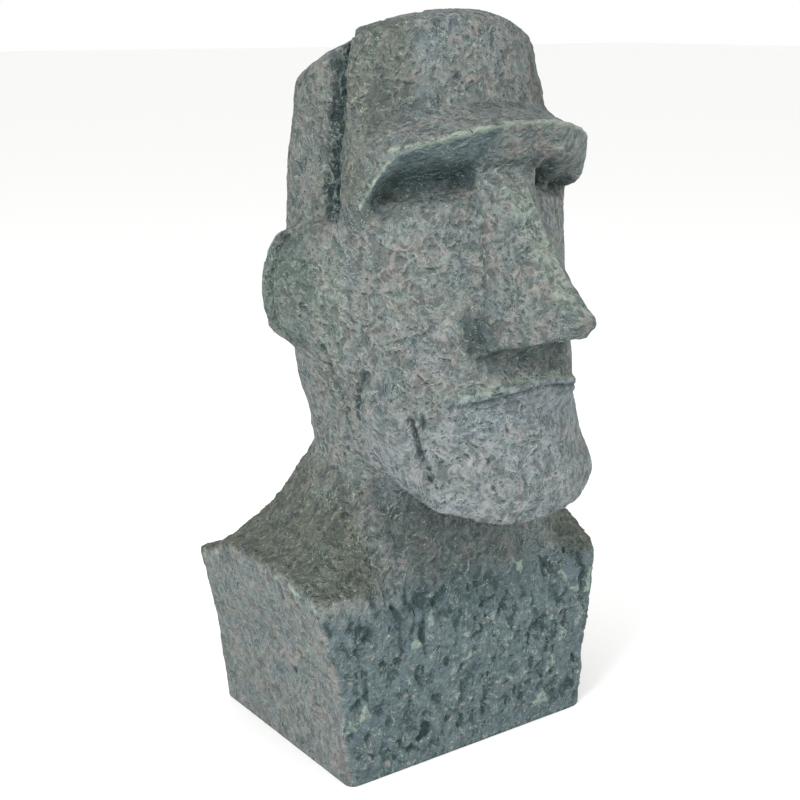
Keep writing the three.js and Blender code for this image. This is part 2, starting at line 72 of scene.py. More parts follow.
TORSO = {
    "flare_right": 0.11,  # the right side (-X) leans out by this much per mm of height
    "flare_left": 0.085,  # the left side leans out less: it was worked by hand
    "spread": 9,  # extra spread of the right side under its shoulder
    "spread_from": 80,
    "spread_to": 165,
    "corner": 8,  # rounding of the upright corners
    "soft_corner": 7,  # further rounding of the front left corner
}
SHOULDER = {
    "level": 177,  # the rim at mid depth
    "rim": 5,  # rounding along the rim
    "back_drop": 25,  # lower towards the back corners
    "front_drop_right": 8,  # lower towards the front right corner
    "front_drop_left": 26,  # lower towards the front left corner
    "chest_drop": 36,  # lower in front, over the middle of the chest
    "chest_inner": 55,  # the chest keeps its full drop out to here
    "chest_outer": 125,  # and none of it from here
    "chest_softness": 26,  # further rounding of the chest edge
    "sweep": 1.95,  # how hollow the sweep from rim to neck is
    "chest_sweep": 1.5,  # the same in front
    "steepness": 0.6,  # brings the steep sweep's height difference near to a distance
}
NECK = {
    "half_width": 80,
    "front": 80,  # reach forward of the origin
    "back": 36,  # reach behind it
    "round": 44,  # rounding of its corners in plan
    "sweep_top": 275,  # the sweep from the shoulders ends here
    "top": 290,
    "bottom": 100,
    "merge": 12,  # hollow where the sweep runs into the neck
    "under_jaw": 14,  # hollow between neck and jaw
}
HEAD = {
    "back_round": 42,  # rounding of the two upright edges at the back
    "face_edge": 7,  # rounding between face and side
    "crown_edge": 10,  # rounding round the crown
    "jaw_edge": 6,  # rounding under the jaw
    "lean": 6,  # the crown leans this far to its right
    "lean_from": 470,
    "block": 6,  # the top of the forehead block in front of the temple groove is this much wider
}
CROWN = {
    "camber": 19,  # the top falls this much to the sides
    "half_width": 90,
    "step": 7,  # the top is lower behind the forehead block
    "step_at": -48,
    "back_fall": 0.3,  # and falls backwards by this slope
    "front_fall": 0.1,  # slope of the front part
    "front_from": -80,
}
JAW = {
    "level": 228,  # underside of the chin
    "from": -180,
    "rise": 0.17,  # the jaw line climbs backwards by this slope
    "side_rise": 8,  # and sideways by this much at side_at
    "side_at": 80,
}
BROW = {
    "reach": 166,  # rim of the brow hood forward of the origin on the middle line
    "sweep": 50,  # it falls back this far at 100 mm out
    "level": 532,  # height of the rim on the middle line
    "droop": 23,  # it hangs this much lower at 100 mm out
    "lip": 1,  # thickness of the rim
    "ledge": 14,  # height of the slope above the rim on the middle line
    "side_ledge": 26,  # and at 100 mm out
    "ledge_curve": 2.2,
    "forehead": 114,  # reach of the forehead above the ledge
    "forehead_from": 540,
    "forehead_lean": 0.25,  # the forehead falls back per mm of height
    "turn_from": 80,  # from here outward the rim turns down and back to meet the side of the head
    "turn_over": 25,
    "turn_drop": (44, 28),  # how far down it turns, on the right and on the left
    "drop_curve": 3,
    "turn_back": (25, 5),  # how far back it turns, on the right and on the left
    "back_curve": 1.6,
    "side_end": (448, 470),  # the hood's ends run out into the face here, right and left
    "roof_end": (486, 474),  # its underside meets the eye hollows here, right and left
    "root_end": 496,  # and the nose root here
    "roof_curve": 1.3,  # how hollow the underside is
    "turn_curve": 2,  # the same behind the turned rim
    "lobe": 0.4,  # how much fuller the left end of the hood is
}
EYE = {
    "cheek_top": 478,  # top edge of the cheeks beside the nose
    "droop": 17,  # it falls this much towards the temples
    "droop_from": 35,
    "droop_over": 65,
    "edge": 8,  # half height of the slope into the hollow
    "roof": 512,  # the hollow runs out here
    "depth": 20,
    "inner": 31,  # the hollow starts this far from the middle line
    "outer": 104,  # and has run out here
    "taper": 24,  # the width over which it runs out
}
NOSE = {
    "ridge": 9,  # half width of the flat ridge
    "flank_curve": 1.15,
    "half_width": 46,  # across the wings
    "under": 377,  # underside on the middle line
    "under_drop": 16,  # the wings reach this much lower
    "under_slope": 12,  # height of the step under the nose
    "wing": 9,  # bulge of the wings
    "wing_at": 34,
    "wing_level": 373,
    "wing_width": 11,
    "wing_height": 13,
}
MOUTH = {
    "level": 335,  # slit between the lips on the middle line
    "droop": 15,  # the corners hang lower
    "half_width": 63,
    "lips": 5,  # how far the lips stand out
    "lip_height": 7,  # the upper lip ends this far over the slit
    "lip_edge": 2,  # half height of its edge
    "philtrum": 10,  # hollow under the nose
    "philtrum_level": 354,
    "under": 5,  # hollow under the lips
    "under_offset": 21,
    "hollow_height": 12,
    "slit": 2.6,  # cut between the lips
    "slit_height": 1.6,
}
EAR = {
    "top": 444,
    "bottom": 340,
    "front": -58,  # the slab leaves the side of the head here
    "back": 14,  # the rim
    "proud": 26.5,  # how far the rim stands out
    "flattening": 0.3,  # share of that lost at the top and bottom
    "rise": 1.2,  # how hollow the slab's slope is
    "top_slope": 0.2,  # the top edge climbs forwards
    "hook": 15,  # the rim curves forward this much at the top and bottom
    "half_height": 52,
    "groove": 5,  # depth of the groove inside the rim
    "groove_at": 9,  # its distance from the rim
    "groove_width": 3.2,
}
TEMPLE = {
    "at": -44,  # the upright groove on the side of the head
    "half_width": 13,
    "depth": 13,
    "bottom": 440,
    "run_out": 22,  # height over which its lower end runs out
}

# Profiles against height: (height, value) stations with a smooth curve between them.
HEAD_HALF_WIDTH = (236, 80), (300, 96), (350, 105), (420, 108), (480, 105), (540, 97), (610, 80)
HEAD_BACK = (256, 33), (300, 38), (345, 42), (420, 44), (540, 42), (610, 32)
# Cheeks, mouth and chin: reach of the middle line, and how far they fall back at 100 mm out.
FACE_REACH = (236, 184), (252, 188), (280, 181), (340, 178), (370, 171), (403, 163), (475, 137)
FACE_FALL = (236, 50), (252, 54), (280, 72), (340, 92), (370, 88), (403, 78), (440, 65), (475, 48)
# Distance from the middle line of the crease between cheek and temple, and the turn behind it.
CREASE_AT = (330, 96), (361, 85), (400, 89), (450, 101), (480, 104)
CREASE_TURN = (325, 0), (360, 0.7)
NOSE_RIDGE = (360, 196), (377, 214), (391, 225), (400, 215), (416, 197), (440, 175), (495, 135)
NOSE_HALF_WIDTH = (360, 44), (385, 45), (403, 40), (440, 34), (495, 24)

METRE = (HIGH[2] - LOW[2]) / HEIGHT  # metres for one mm of the form, worked out from the frame

# ---------- Crust and finish, mm ----------
CRUST = {  # height of each layer of the crust
    "trowel": 0.5,  # flats that the trowel left
    "trowel_front": 2.6,  # so many times more on the torso's front
    "trowel_back": 0.4,  # and this share less behind
    "scales": 0.3,
    "lumps": 0.5,
    "ridges": 1.0,
    "strokes": 0.55,  # down the side of the head
    "chunks": 4.4,  # broken stone in the temple grooves
    "chunk_sink": 1.6,
    "pits": 2.0,
    "pits_all_over": 0.4,
}
CRUST_SIZE = {  # width of one flake, lump or pit of each layer
    "trowel": 13,
    "scales": 6.5,
    "lumps": 12,
    "ridges": 9,
    "strokes": 3.4,
    "chunks": 11,
    "pits": 10,
    "warp": 19,  # what bends the layers out of line
}
WARP = 5  # how far it bends them
GOUGE_WANDER = 3  # how far the sides of a gouge wander
FOOT_SMOOTH = 26  # the crust is pressed flatter up to here
FOOT_CLEAR = 6  # and fades out towards the floor below here
FULL_GOUGE_SHADE = 4  # a gouge this deep gets the full painted shade
SHADE_REACHES = 16, 34, 60  # how near the form stands over a place that gets painted shade
# the same for the painted shade in small creases
CREASE_SHADE_REACHES = 4, 8
SHARP_EDGE = {"reach": 1.6, "least": 0.28}  # edges that the dry brush catches
WORN_EDGE = {"reach": 3.5, "least": 0.1}  # the blunter rim of the torso
WORN_TOP = 215  # the highest place of that rim
FLAKE_SIZE = 8.5
FLAKE_BEND = 6  # how far the flakes' borders wander, and over what width
PLATE_EDGE = 0.5  # level of the wandering pattern at which the trowelled skin is torn
LIGHT_STEP = (-0.35, -0.35, 0.5)  # step towards the key light, for the painted light and shade on each fold
PAPER_MOTTLE = 2.5  # drawn coarser than the paper's own fibre, so that it shows


# ---------- Small functions on arrays ----------
def ease(start, end, t):
    s = np.clip((t - start) / (end - start), 0, 1)
    return s * s * (3 - 2 * s)


def mix(a, b, t):
    return a + (b - a) * t


def bump(t, width):
    return np.exp(-((t / width) ** 2))


def join(a, b, radius):
    """Smooth union of two fields; a square inner corner comes out rounded by about the radius."""
    k = 1.17 * radius
    h = np.clip(0.5 + 0.5 * (b - a) / k, 0, 1)
    return mix(b, a, h) - k * h * (1 - h)


def meet(a, b, radius):
    return -join(-a, -b, radius)


def rounded_plan(x, y, half_x, half_y, radius):
    """Distance outside a rounded rectangle."""
    across = np.abs(x) - half_x + radius
    deep = np.abs(y) - half_y + radius
    outside = np.hypot(np.maximum(across, 0), np.maximum(deep, 0))
    return outside + np.minimum(np.maximum(across, deep), 0) - radius


def curve(stations):
    """A smooth curve through the stations of a profile that never overshoots them."""
    at, value = np.array(stations, float).T
    rise = np.diff(value) / np.diff(at)
    slope = np.concatenate([rise[:1], np.zeros(len(at) - 2), rise[-1:]])
    before, after = rise[:-1], rise[1:]
    steady = before * after > 0
    slope[1:-1][steady] = (2 * before * after)[steady] / (before + after)[steady]

    def height_of(z):
        z = np.clip(z, at[0], at[-1])
        i = np.clip(np.searchsorted(at, z, side="right") - 1, 0, len(at) - 2)
        h = at[i + 1] - at[i]
        t = (z - at[i]) / h
        s = 1 - t
        leaving = (1 + 2 * t) * value[i] + t * h * slope[i]
        arriving = (1 + 2 * s) * value[i + 1] - s * h * slope[i + 1]
        return s * s * leaving + t * t * arriving

    return height_of


head_half_width = curve(HEAD_HALF_WIDTH)
head_back = curve(HEAD_BACK)
face_reach = curve(FACE_REACH)
face_fall = curve(FACE_FALL)
crease_at = curve(CREASE_AT)
crease_turn = curve(CREASE_TURN)
nose_ridge = curve(NOSE_RIDGE)
nose_half_width = curve(NOSE_HALF_WIDTH)


# ---------- Torso and neck ----------
def neck_plan(x, y):
    middle = (NECK["back"] - NECK["front"]) / 2
    reach = (NECK["back"] + NECK["front"]) / 2
    return rounded_plan(x, y - middle, NECK["half_width"], reach, NECK["round"])


def chest_share(x, y):
    """1 over the middle of the chest, 0 at the shoulders and behind."""
    return ease(-40, -85, y) * ease(SHOULDER["chest_outer"], SHOULDER["chest_inner"], np.abs(x))


def shoulder_height(x, y, inward):
    """Top of the torso: a rim round the outside, swept up in a hollow curve to the neck."""
    chest = chest_share(x, y)
    corner = mix(SHOULDER["front_drop_right"], SHOULDER["front_drop_left"], ease(-60, 120, x))
    front = mix(corner * ease(-45, -105, y), SHOULDER["chest_drop"], chest)
    rim = SHOULDER["level"] - front - SHOULDER["back_drop"] * ease(25, 105, y)
    outward = np.maximum(neck_plan(x, y), 0)
    share = outward / (outward + np.maximum(inward, 0) + 0.01)
    hollow = mix(SHOULDER["sweep"], SHOULDER["chest_sweep"], chest)
    return rim + (NECK["sweep_top"] - rim) * (1 - share) ** hollow


def torso(x, y, z):
    spread = TORSO["spread"] * ease(TORSO["spread_from"], TORSO["spread_to"], z)
    flare = np.where(x < 0, TORSO["flare_right"] * z + spread, TORSO["flare_left"] * z)
    side = np.abs(x) - BASE_WIDTH / 2 - flare
    ends = np.abs(y) - BASE_DEPTH / 2
    soft = TORSO["soft_corner"] * ease(60, 120, x) * ease(0, -60, y)
    walls = meet(side, ends, TORSO["corner"] + soft)
    top = (z - shoulder_height(x, y, -walls)) * SHOULDER["steepness"]
    return meet(walls, top, SHOULDER["rim"] + SHOULDER["chest_softness"] * chest_share(x, y))


def neck(x, y, z):
    return np.maximum(np.maximum(neck_plan(x, y), z - NECK["top"]), NECK["bottom"] - z)


# ---------- Face: reach forward of the origin; u is the distance from the middle line ----------
def cheek(u, z):
    behind_crease = np.maximum(0, u - crease_at(z)) * crease_turn(z)
    return face_reach(z) - face_fall(z) * (u / 100) ** 2 - behind_crease


def mouth_line(u):
    return MOUTH["level"] - MOUTH["droop"] * (u / MOUTH["half_width"]) ** 1.6


def mouth(u, z):
    above = z - mouth_line(u)
    across = ease(MOUTH["half_width"] + 6, MOUTH["half_width"] - 16, u)
    height, edge = MOUTH["lip_height"], MOUTH["lip_edge"]
    upper = ease(height + edge, height - edge, above)
    lips = MOUTH["lips"] * upper * ease(-height - edge, 0, above) * across
    slit = MOUTH["slit"] * bump(above, MOUTH["slit_height"]) * across
    hollow = bump(z - MOUTH["philtrum_level"], MOUTH["hollow_height"])
    philtrum = MOUTH["philtrum"] * hollow * ease(52, 20, u)
    under = MOUTH["under"] * bump(above + MOUTH["under_offset"], MOUTH["hollow_height"])
    return lips - slit - philtrum - under * ease(70, 30, u)


def nose(u, z, flat):
    share = np.clip((u - NOSE["ridge"]) / (nose_half_width(z) - NOSE["ridge"]), 0, 1)
    flank = mix(nose_ridge(z), flat, share ** NOSE["flank_curve"])
    across = bump(u - NOSE["wing_at"], NOSE["wing_width"])
    wing = NOSE["wing"] * across * bump(z - NOSE["wing_level"], NOSE["wing_height"])
    under = NOSE["under"] - NOSE["under_drop"] * (u / NOSE["half_width"]) ** 2
    step = ease(under - NOSE["under_slope"] + 2, under + 2, z)
    return mix(flat, np.maximum(flank, flat) + wing, step)


def eye_hollow(u, z):
    out = np.clip((u - EYE["droop_from"]) / EYE["droop_over"], 0, 1.2)
    edge = EYE["cheek_top"] - EYE["droop"] * out**1.5
    upright = ease(edge - EYE["edge"], edge + EYE["edge"], z) * ease(EYE["roof"], edge + 8, z)
    across = ease(EYE["inner"] - 5, EYE["inner"] + 5, u)
    across = across * ease(EYE["outer"], EYE["outer"] - EYE["taper"], u)
    return EYE["depth"] * upright * across


def brow_turn(u):
    return np.clip((u - BROW["turn_from"]) / BROW["turn_over"], 0, 1)


def rim_height(u, left):
    """Height of the hood's lower rim."""
    drop = mix(*BROW["turn_drop"], left) * brow_turn(u) ** BROW["drop_curve"]
    return BROW["level"] - BROW["droop"] * (u / 100) ** 2 - BROW["lip"] - drop


def brow(u, z, left, face):
    """The brow hood: forehead above, a ledge down to the rim, and a vault back to the face."""
    out = (u / 100) ** 2
    turn = brow_turn(u)
    turn_back = mix(*BROW["turn_back"], left) * turn ** BROW["back_curve"]
    rim = BROW["reach"] - BROW["sweep"] * out - turn_back
    level = BROW["level"] - BROW["droop"] * out
    lean = BROW["forehead_lean"] * (z - BROW["forehead_from"])
    forehead = BROW["forehead"] - BROW["sweep"] * out - lean
    t = np.clip((z - level) / mix(BROW["ledge"], BROW["side_ledge"], out), 0, 1)
    above = mix(forehead, rim, (1 - t) ** BROW["ledge_curve"])
    edge = rim_height(u, left)
    beside = ease(20, 50, u)
    roof_end = mix(BROW["root_end"], mix(*BROW["roof_end"], left), beside)
    t = np.clip((edge - z) / (edge - mix(roof_end, mix(*BROW["side_end"], left), turn)), 0, 1)
    hollow = 1 - (1 - t) ** mix(BROW["roof_curve"], BROW["turn_curve"], turn)
    vault = mix(t, mix(hollow, mix(t, t**5, BROW["lobe"]), left), beside)
    return np.where(z >= edge, above, mix(rim, face, vault))


def face(u, z, left):
    carved = nose(u, z, cheek(u, z) + mouth(u, z)) - eye_hollow(u, z)
    return np.where(z > min(BROW["side_end"]), brow(u, z, left, carved), carved)


# ---------- Side of the head: reach outward ----------
def ear(y, z):
    out = np.abs(z - (EAR["top"] + EAR["bottom"]) / 2) / EAR["half_height"]
    back = EAR["back"] - EAR["hook"] * out**3
    rise = np.clip((y - EAR["front"]) / (EAR["back"] - EAR["front"]), 0, 1) ** EAR["rise"]
    slab = EAR["proud"] * (1 - EAR["flattening"] * out**2) * rise * ease(back + 4, back - 1, y)
    in_rim = bump(y - back + EAR["groove_at"], EAR["groove_width"])
    in_rim = in_rim * ease(EAR["bottom"] + 8, EAR["bottom"] + 26, z)
    top = ease(EAR["top"] + 4, EAR["top"] - 5, z + EAR["top_slope"] * y)
    return (slab - EAR["groove"] * in_rim) * top * ease(EAR["bottom"] - 4, EAR["bottom"] + 26, z)


def in_temple_groove(y, z):
    """1 along the middle of the upright groove on the side of the head."""
    above = ease(TEMPLE["bottom"], TEMPLE["bottom"] + TEMPLE["run_out"], z)
    return bump(y - TEMPLE["at"], TEMPLE["half_width"]) * above


def side_reach(y, z):
    block = HEAD["block"] * ease(TEMPLE["at"], TEMPLE["at"] - 8, y) * ease(BROW["level"], HEIGHT, z)
    groove = TEMPLE["depth"] * in_temple_groove(y, z)
    return head_half_width(z) + block - groove + ear(y, z)


# ---------- Head ----------
def crown_height(x, y):
    step = CROWN["step"] * ease(CROWN["step_at"] - 7, CROWN["step_at"] + 7, y)
    back_fall = CROWN["back_fall"] * np.maximum(0, y - CROWN["step_at"])
    front_fall = CROWN["front_fall"] * np.maximum(0, CROWN["front_from"] - y)
    return HEIGHT - CROWN["camber"] * (x / CROWN["half_width"]) ** 2 - step - back_fall - front_fall


def head(world_x, y, z):
    x = world_x + HEAD["lean"] * ease(HEAD["lean_from"], HEIGHT, z)
    u = np.abs(x)
    jaw = JAW["level"] + JAW["rise"] * (y - JAW["from"]) + JAW["side_rise"] * (x / JAW["side_at"]) ** 2
    front = meet(u - side_reach(y, z), -y - face(u, z, ease(-20, 20, x)), HEAD["face_edge"])
    upright = meet(front, y - head_back(z), HEAD["back_round"])
    capped = meet(upright, z - crown_height(x, y), HEAD["crown_edge"])
    return meet(capped, jaw - z, HEAD["jaw_edge"])


def unevenness(x, y, z):
    a = np.sin(x / 17.3 + 1.3 * np.sin(z / 29.1)) * np.sin(y / 19.7 + z / 41.3)
    b = np.sin(z / 13.1 + 1.1 * np.sin((x + y) / 23.9)) * np.cos((x - y) / 21.7)
    return UNEVEN / 2 * (a + b) * ease(0, 60, z)


def body(points):
    x, y, z = points[..., 0], points[..., 1], points[..., 2]
    trunk = join(torso(x, y, z), neck(x, y, z), NECK["merge"])
    whole = join(trunk, head(x, y, z), NECK["under_jaw"])
    return meet(whole + unevenness(x, y, z), -z, FOOT_EDGE)


# ---------- Noise on points, mm ----------
def lattice(cells, seed):
    """A repeatable random number from 0 to 1 for each whole-numbered cell."""
    i, j, k = cells.astype(np.int64).astype(np.uint32).T
    mixed = i * np.uint32(0x8DA6B343) + j * np.uint32(0xD8163841) + k * np.uint32(0xCB1AB31F)
    mixed = mixed + np.uint32((seed * 0x9E3779B1) & 0xFFFFFFFF)
    for shift, factor in ((15, 0x2C1B3C6D), (12, 0x297A2D39), (15, 0x85EBCA6B)):
        mixed = (mixed ^ (mixed >> np.uint32(shift))) * np.uint32(factor)
    return (mixed ^ (mixed >> np.uint32(16))) / 2.0**32


def noise(points, size, seed):
    """Smooth noise from -1 to 1 whose lumps are about the given size."""
    q = points / size
    base = np.floor(q)
    t = q - base
    t = t * t * (3 - 2 * t)
    total = np.zeros(len(q))
    for corner in itertools.product((0, 1), repeat=3):
        share = np.prod(np.where(corner, t, 1 - t), axis=1)
        total += share * lattice(base + corner, seed)
    return 2 * total - 1


def layered(points, size, seed, layers=3):
    parts = [noise(points, size / 2**n, seed + n) / 1.8**n for n in range(layers)]
    return np.sum(parts, axis=0)


def flakes(points, size, seed):
    """Trowelled flakes: each cell is a tilted flat that ends in a step. Height is about -1 to 1."""
    q = points / size
    base = np.floor(q)
    nearest = np.full(len(q), np.inf)
    height = np.zeros(len(q))
    for offset in itertools.product((-1, 0, 1), repeat=3):
        cell = base + offset
        centre = cell + np.stack([lattice(cell, seed + n) for n in range(3)], 1)
        away = q - centre
        distance = (away**2).sum(1)
        closer = distance < nearest
        near = cell[closer]
        tilt = np.stack([lattice(near, seed + 3 + n) for n in range(3)], 1) * 2 - 1
        level = lattice(near, seed + 6) * 2 - 1
        height[closer] = (away[closer] * tilt).sum(1) + 0.6 * level
        nearest[closer] = distance[closer]
    return height


# ---------- Surface of a field ----------
def join_diagonals(values):
    """Where only diagonal corners of a grid square are inside, a third corner joins them."""
    cuts = (slice(None, -1), slice(1, None))
    changed = True
    while changed:
        changed = False
        for p, q in ((0, 1), (1, 2), (0, 2)):
            corners = []
            for step in itertools.product((0, 1), repeat=2):
                cut = [slice(None)] * 3
                cut[p], cut[q] = cuts[step[0]], cuts[step[1]]
                corners.append(values[tuple(cut)])
            a, b, c, d = corners
            mixed = ((a < 0) == (d < 0)) & ((b < 0) == (c < 0)) & ((a < 0) != (b < 0))
            if not mixed.any():
                continue
            changed = True
            for inner, first, second in ((a, b, c), (b, a, d)):
                spot = mixed & (inner < 0)
                lower = first < second
                first[spot & lower] = -1e-3
                second[spot & ~lower] = -1e-3


def surface_net(field, low, high, cell):
    """One point in each grid cell that the surface passes, one quad across each crossed edge."""
    axes = [np.linspace(a, b, math.ceil((b - a) / cell) + 1) for a, b in zip(low, high)]
    grid = np.stack(np.meshgrid(*axes, indexing="ij"), -1)
    values = np.stack([field(sheet) for sheet in grid])
    join_diagonals(values)
    inside = values < 0
    cells = tuple(n - 1 for n in values.shape)
    total = np.zeros(cells + (3,))
    count = np.zeros(cells)
    for axis in range(3):
        others = [a for a in range(3) if a != axis]
        start = [slice(None)] * 3
        end = [slice(None)] * 3
        start[axis], end[axis] = slice(None, -1), slice(1, None)
        a, b = values[tuple(start)], values[tuple(end)]
        crossed = (a < 0) != (b < 0)
        along = np.where(crossed, a / np.where(crossed, a - b, 1), 0)
        for step in itertools.product((0, 1), repeat=2):
            cut = [slice(None)] * 3
            for other, by in zip(others, step):
                cut[other] = slice(by, values.shape[other] - 1 + by)
            seen = crossed[tuple(cut)]
            count += seen
            total[..., axis] += along[tuple(cut)]
            for other, by in zip(others, step):
                total[..., other] += by * seen
    used = count > 0
    number = np.full(cells, -1)
    number[used] = np.arange(used.sum())
    spacing = np.array([a[1] - a[0] for a in axes])
    points = np.argwhere(used) + total[used] / count[used][:, None]
    points = points * spacing + np.array([a[0] for a in axes])

    quads = []
    for axis in range(3):
        p, q = (axis + 1) % 3, (axis + 2) % 3
        start = [slice(1, -1)] * 3
        end = [slice(1, -1)] * 3
        start[axis], end[axis] = slice(None, -1), slice(1, None)
        a, b = inside[tuple(start)], inside[tuple(end)]
        at = np.argwhere(a != b)
        at[:, [p, q]] += 1
        ring = []
        for back_p, back_q in ((1, 1), (0, 1), (0, 0), (1, 0)):
            place = at.copy()
            place[:, p] -= back_p
            place[:, q] -= back_q
            ring.append(number[tuple(place.T)])
        ring = np.stack(ring, 1)
        outward = a[a != b]
        ring[~outward] = ring[~outward][:, ::-1]
        quads.append(ring)
    return points, np.concatenate(quads)


def gradient(field, points):
    reach = 0.4
    slopes = []
    for axis in range(3):
        step = np.zeros(3)
        step[axis] = reach
        slopes.append((field(points + step) - field(points - step)) / (2 * reach))
    return np.stack(slopes, 1)


def settled(field, points, most, rounds=3):
    """Points drawn onto the zero level, at most so far at a time."""
    for _ in range(rounds):
        slope = gradient(field, points)
        length = np.linalg.norm(slope, axis=1) + 1e-9
        move = np.clip(field(points) / length, -most, most)
        points = points - slope / length[:, None] * move[:, None]
    return points


def sharpened(field, points, faces, most):
    """Moves points near an edge of the form onto that edge, where the planes around them meet."""
    middle = settled(field, points[faces].mean(1), most, 2)
    normal = gradient(field, middle)
    normal /= np.linalg.norm(normal, axis=1)[:, None] + 1e-9
    square = normal[:, :, None] * normal[:, None, :]
    offset = normal * (normal * middle).sum(1)[:, None]
    pull = 0.08
    left = np.tile(np.eye(3) * pull, (len(points), 1, 1))
    right = points * pull
    for corner in range(faces.shape[1]):
        np.add.at(left, faces[:, corner], square)
        np.add.at(right, faces[:, corner], offset)
    solved = np.linalg.solve(left, right[..., None])[..., 0]
    move = solved - points
    length = np.linalg.norm(move, axis=1)[:, None] + 1e-9
    return points + move * np.minimum(1, most / length)


# ---------- Worked crust, mm ----------
# Breaks and slips of the trowel: start, end, half width, depth.
GOUGES = (
    ((-99, -86, 340), (-96, -70, 302), 3.6, 4.5),  # broken slot along the cheek's outer edge
    ((-109, -40, 355), (-100, -45, 321), 5, 3),
    ((-99, -52, 315), (-94, -55, 292), 3.5, 3.5),
    ((-93, -48, 281), (-92, -48, 277), 3, 4),
    ((-83, -119, 318), (-82, -129, 291), 2.2, 4),  # crack beside the mouth
    ((-82, -129, 291), (-80, -145, 267), 2.2, 4),
    ((-77, -128, 311), (-77, -131, 301), 1.8, 3),
    ((-155, -46, 161), (-155, -46, 155), 2.5, 3),  # pits in the right side of the torso
    ((-155, -59, 161), (-153, -72, 151), 2.2, 4),
    ((-146, -36, 120), (-142, -36, 106), 2, 3),
    ((-141, -52, 103), (-139, -60, 94), 2.2, 3.5),
    ((-138, -36, 84), (-138, -36, 80), 2.5, 3.5),
    ((-137, -15, 71), (-135, -21, 57), 2.8, 4),
    ((-135, -62, 64), (-134, -70, 57), 2, 3),
    ((-129, 31, 12), (-129, 31, 7), 3.5, 4.5),
    ((-60, -104, 78), (-54, -104, 84), 3, 3.5),  # slips of the trowel across the torso's front
    ((6, -99, 126), (23, -99, 130), 2.2, 3),
    ((-10, -102, 98), (8, -102, 105), 2.5, 2.5),
    ((58, -104, 81), (74, -104, 99), 2.2, 2.5),
    ((36, -104, 68), (56, -104, 77), 2, 2.5),
    ((-123, -104, 72), (-109, -104, 81), 2.4, 3),
    ((-107, -104, 94), (-95, -104, 103), 2, 2.5),
    ((-61, -104, 23), (-50, -104, 31), 3.5, 4.5),
    ((-50, -104, 31), (-37, -104, 18), 2.5, 3.5),
    ((-81, -104, 26), (-67, -104, 15), 2.5, 3),
    ((73, -104, 44), (77, -104, 39), 3, 3),
)


def gouge_depth(points):
    """Depth of the nearest gouge, with ragged sides."""
    wander = np.stack([layered(points, 7, 90 + 5 * n, 2) for n in range(3)], 1)
    ragged = points + GOUGE_WANDER * wander
    depth = np.zeros(len(points))
    for start, end, half_width, deepest in GOUGES:
        start, end = np.array(start, float), np.array(end, float)
        run = end - start
        share = np.clip((ragged - start) @ run / (run @ run), 0, 1)
        away = np.linalg.norm(ragged - start - share[:, None] * run, axis=1)
        depth = np.maximum(depth, deepest * ease(1.6 * half_width, 0.3 * half_width, away))
    return depth * ease(-0.45, 0.1, noise(points, 8, 99))


def regions(points, normal):
    """How much of each point belongs to each stretch, 0 to 1: some are worked differently, some only
    get painted shade or painted light.
    """
    x, y, z = points.T
    u = np.abs(x)
    sideways = np.abs(normal[:, 0])
    upward = normal[:, 2]
    forward = ease(-0.1, -0.4, normal[:, 1])
    front = ease(-120, -135, y)  # nose, mouth and chin
    half_front = ease(-60, -80, y)
    rim = SHOULDER["level"] - SHOULDER["rim"]
    walls = ease(rim, rim - 22, z)
    hood = ease(452, 475, z) * ease(BROW["level"] + 6, BROW["level"] - 4, z)
    vault = ease(0.05, -0.35, upward) * hood * ease(-84, -94, y)
    hood_rim = bump(z - rim_height(u, ease(-20, 20, x)), 1.3) * hood * ease(-86, -92, y)
    beside_groove = ease(TEMPLE["at"], TEMPLE["at"] + TEMPLE["half_width"], y)
    block_side = ease(-108, -84, y) * ease(-48, -58, y) * ease(445, 475, z)
    ear_side = ease(90, 100, u) * bump(z - 395, 38) * ease(-72, -60, y)
    cheek_edge = bump(u - crease_at(z), 3) * ease(335, 350, z) * ease(472, 455, z)
    ridge = ease(NOSE["ridge"] + 5, NOSE["ridge"], u) * half_front * ease(388, 402, z)
    wing = bump(u - (NOSE["half_width"] + 2), 5) * ease(352, 364, z) * ease(402, 386, z)
    under_nose = NOSE["under"] - NOSE["under_drop"] * (u / NOSE["half_width"]) ** 2
    above_mouth = z - mouth_line(u)
    lips = ease(9, 6, above_mouth) * ease(-32, -20, above_mouth) * ease(70, 55, u)
    return {
        "torso_front": ease(-0.55, -0.9, normal[:, 1]) * ease(rim, rim - 32, z),
        "torso_side": ease(0.6, 0.9, sideways) * walls,
        "lower_face": ease(325, 290, z) * ease(215, 240, z) * half_front,
        "shoulder_top": ease(0.25, 0.6, upward) * ease(330, 250, z),
        "temple_groove": in_temple_groove(y, z) * ease(60, 78, u),
        "head_side": ease(0.6, 0.9, sideways) * beside_groove * ease(300, 460, z),
        "vault": vault * ease(-22, -36, x),
        "socket": eye_hollow(u, z) / EYE["depth"] * ease(-60, -75, y),
        "block_side": block_side * ease(50, 65, u),
        "ear": ease(3, 10, ear(y, z)) * ease(80, 92, u),
        "ear_side": ear_side * ease(30, 15, y),
        "under_nose": bump(z - (NOSE["under"] - 19), 13) * ease(58, 34, u) * front,
        "nose_line": bump(z - under_nose + 6, 3.5) * ease(48, 40, u) * front,
        "wing_crease": wing * front,
        "nose_ridge": ridge * ease(490, 470, z),
        "cheek_edge": cheek_edge * ease(-50, -60, y),
        "lips": lips * front,
        "lip_edge": bump(above_mouth - MOUTH["lip_height"], 1.7) * ease(70, 60, u) * front,
        "slit": bump(above_mouth, MOUTH["slit_height"]) * ease(66, 55, u) * front,
        "rim_line": hood_rim * forward,
        "folded": 1 - 0.55 * walls * ease(0.5, 0.2, np.abs(upward)),  # flatter on the torso's walls
    }


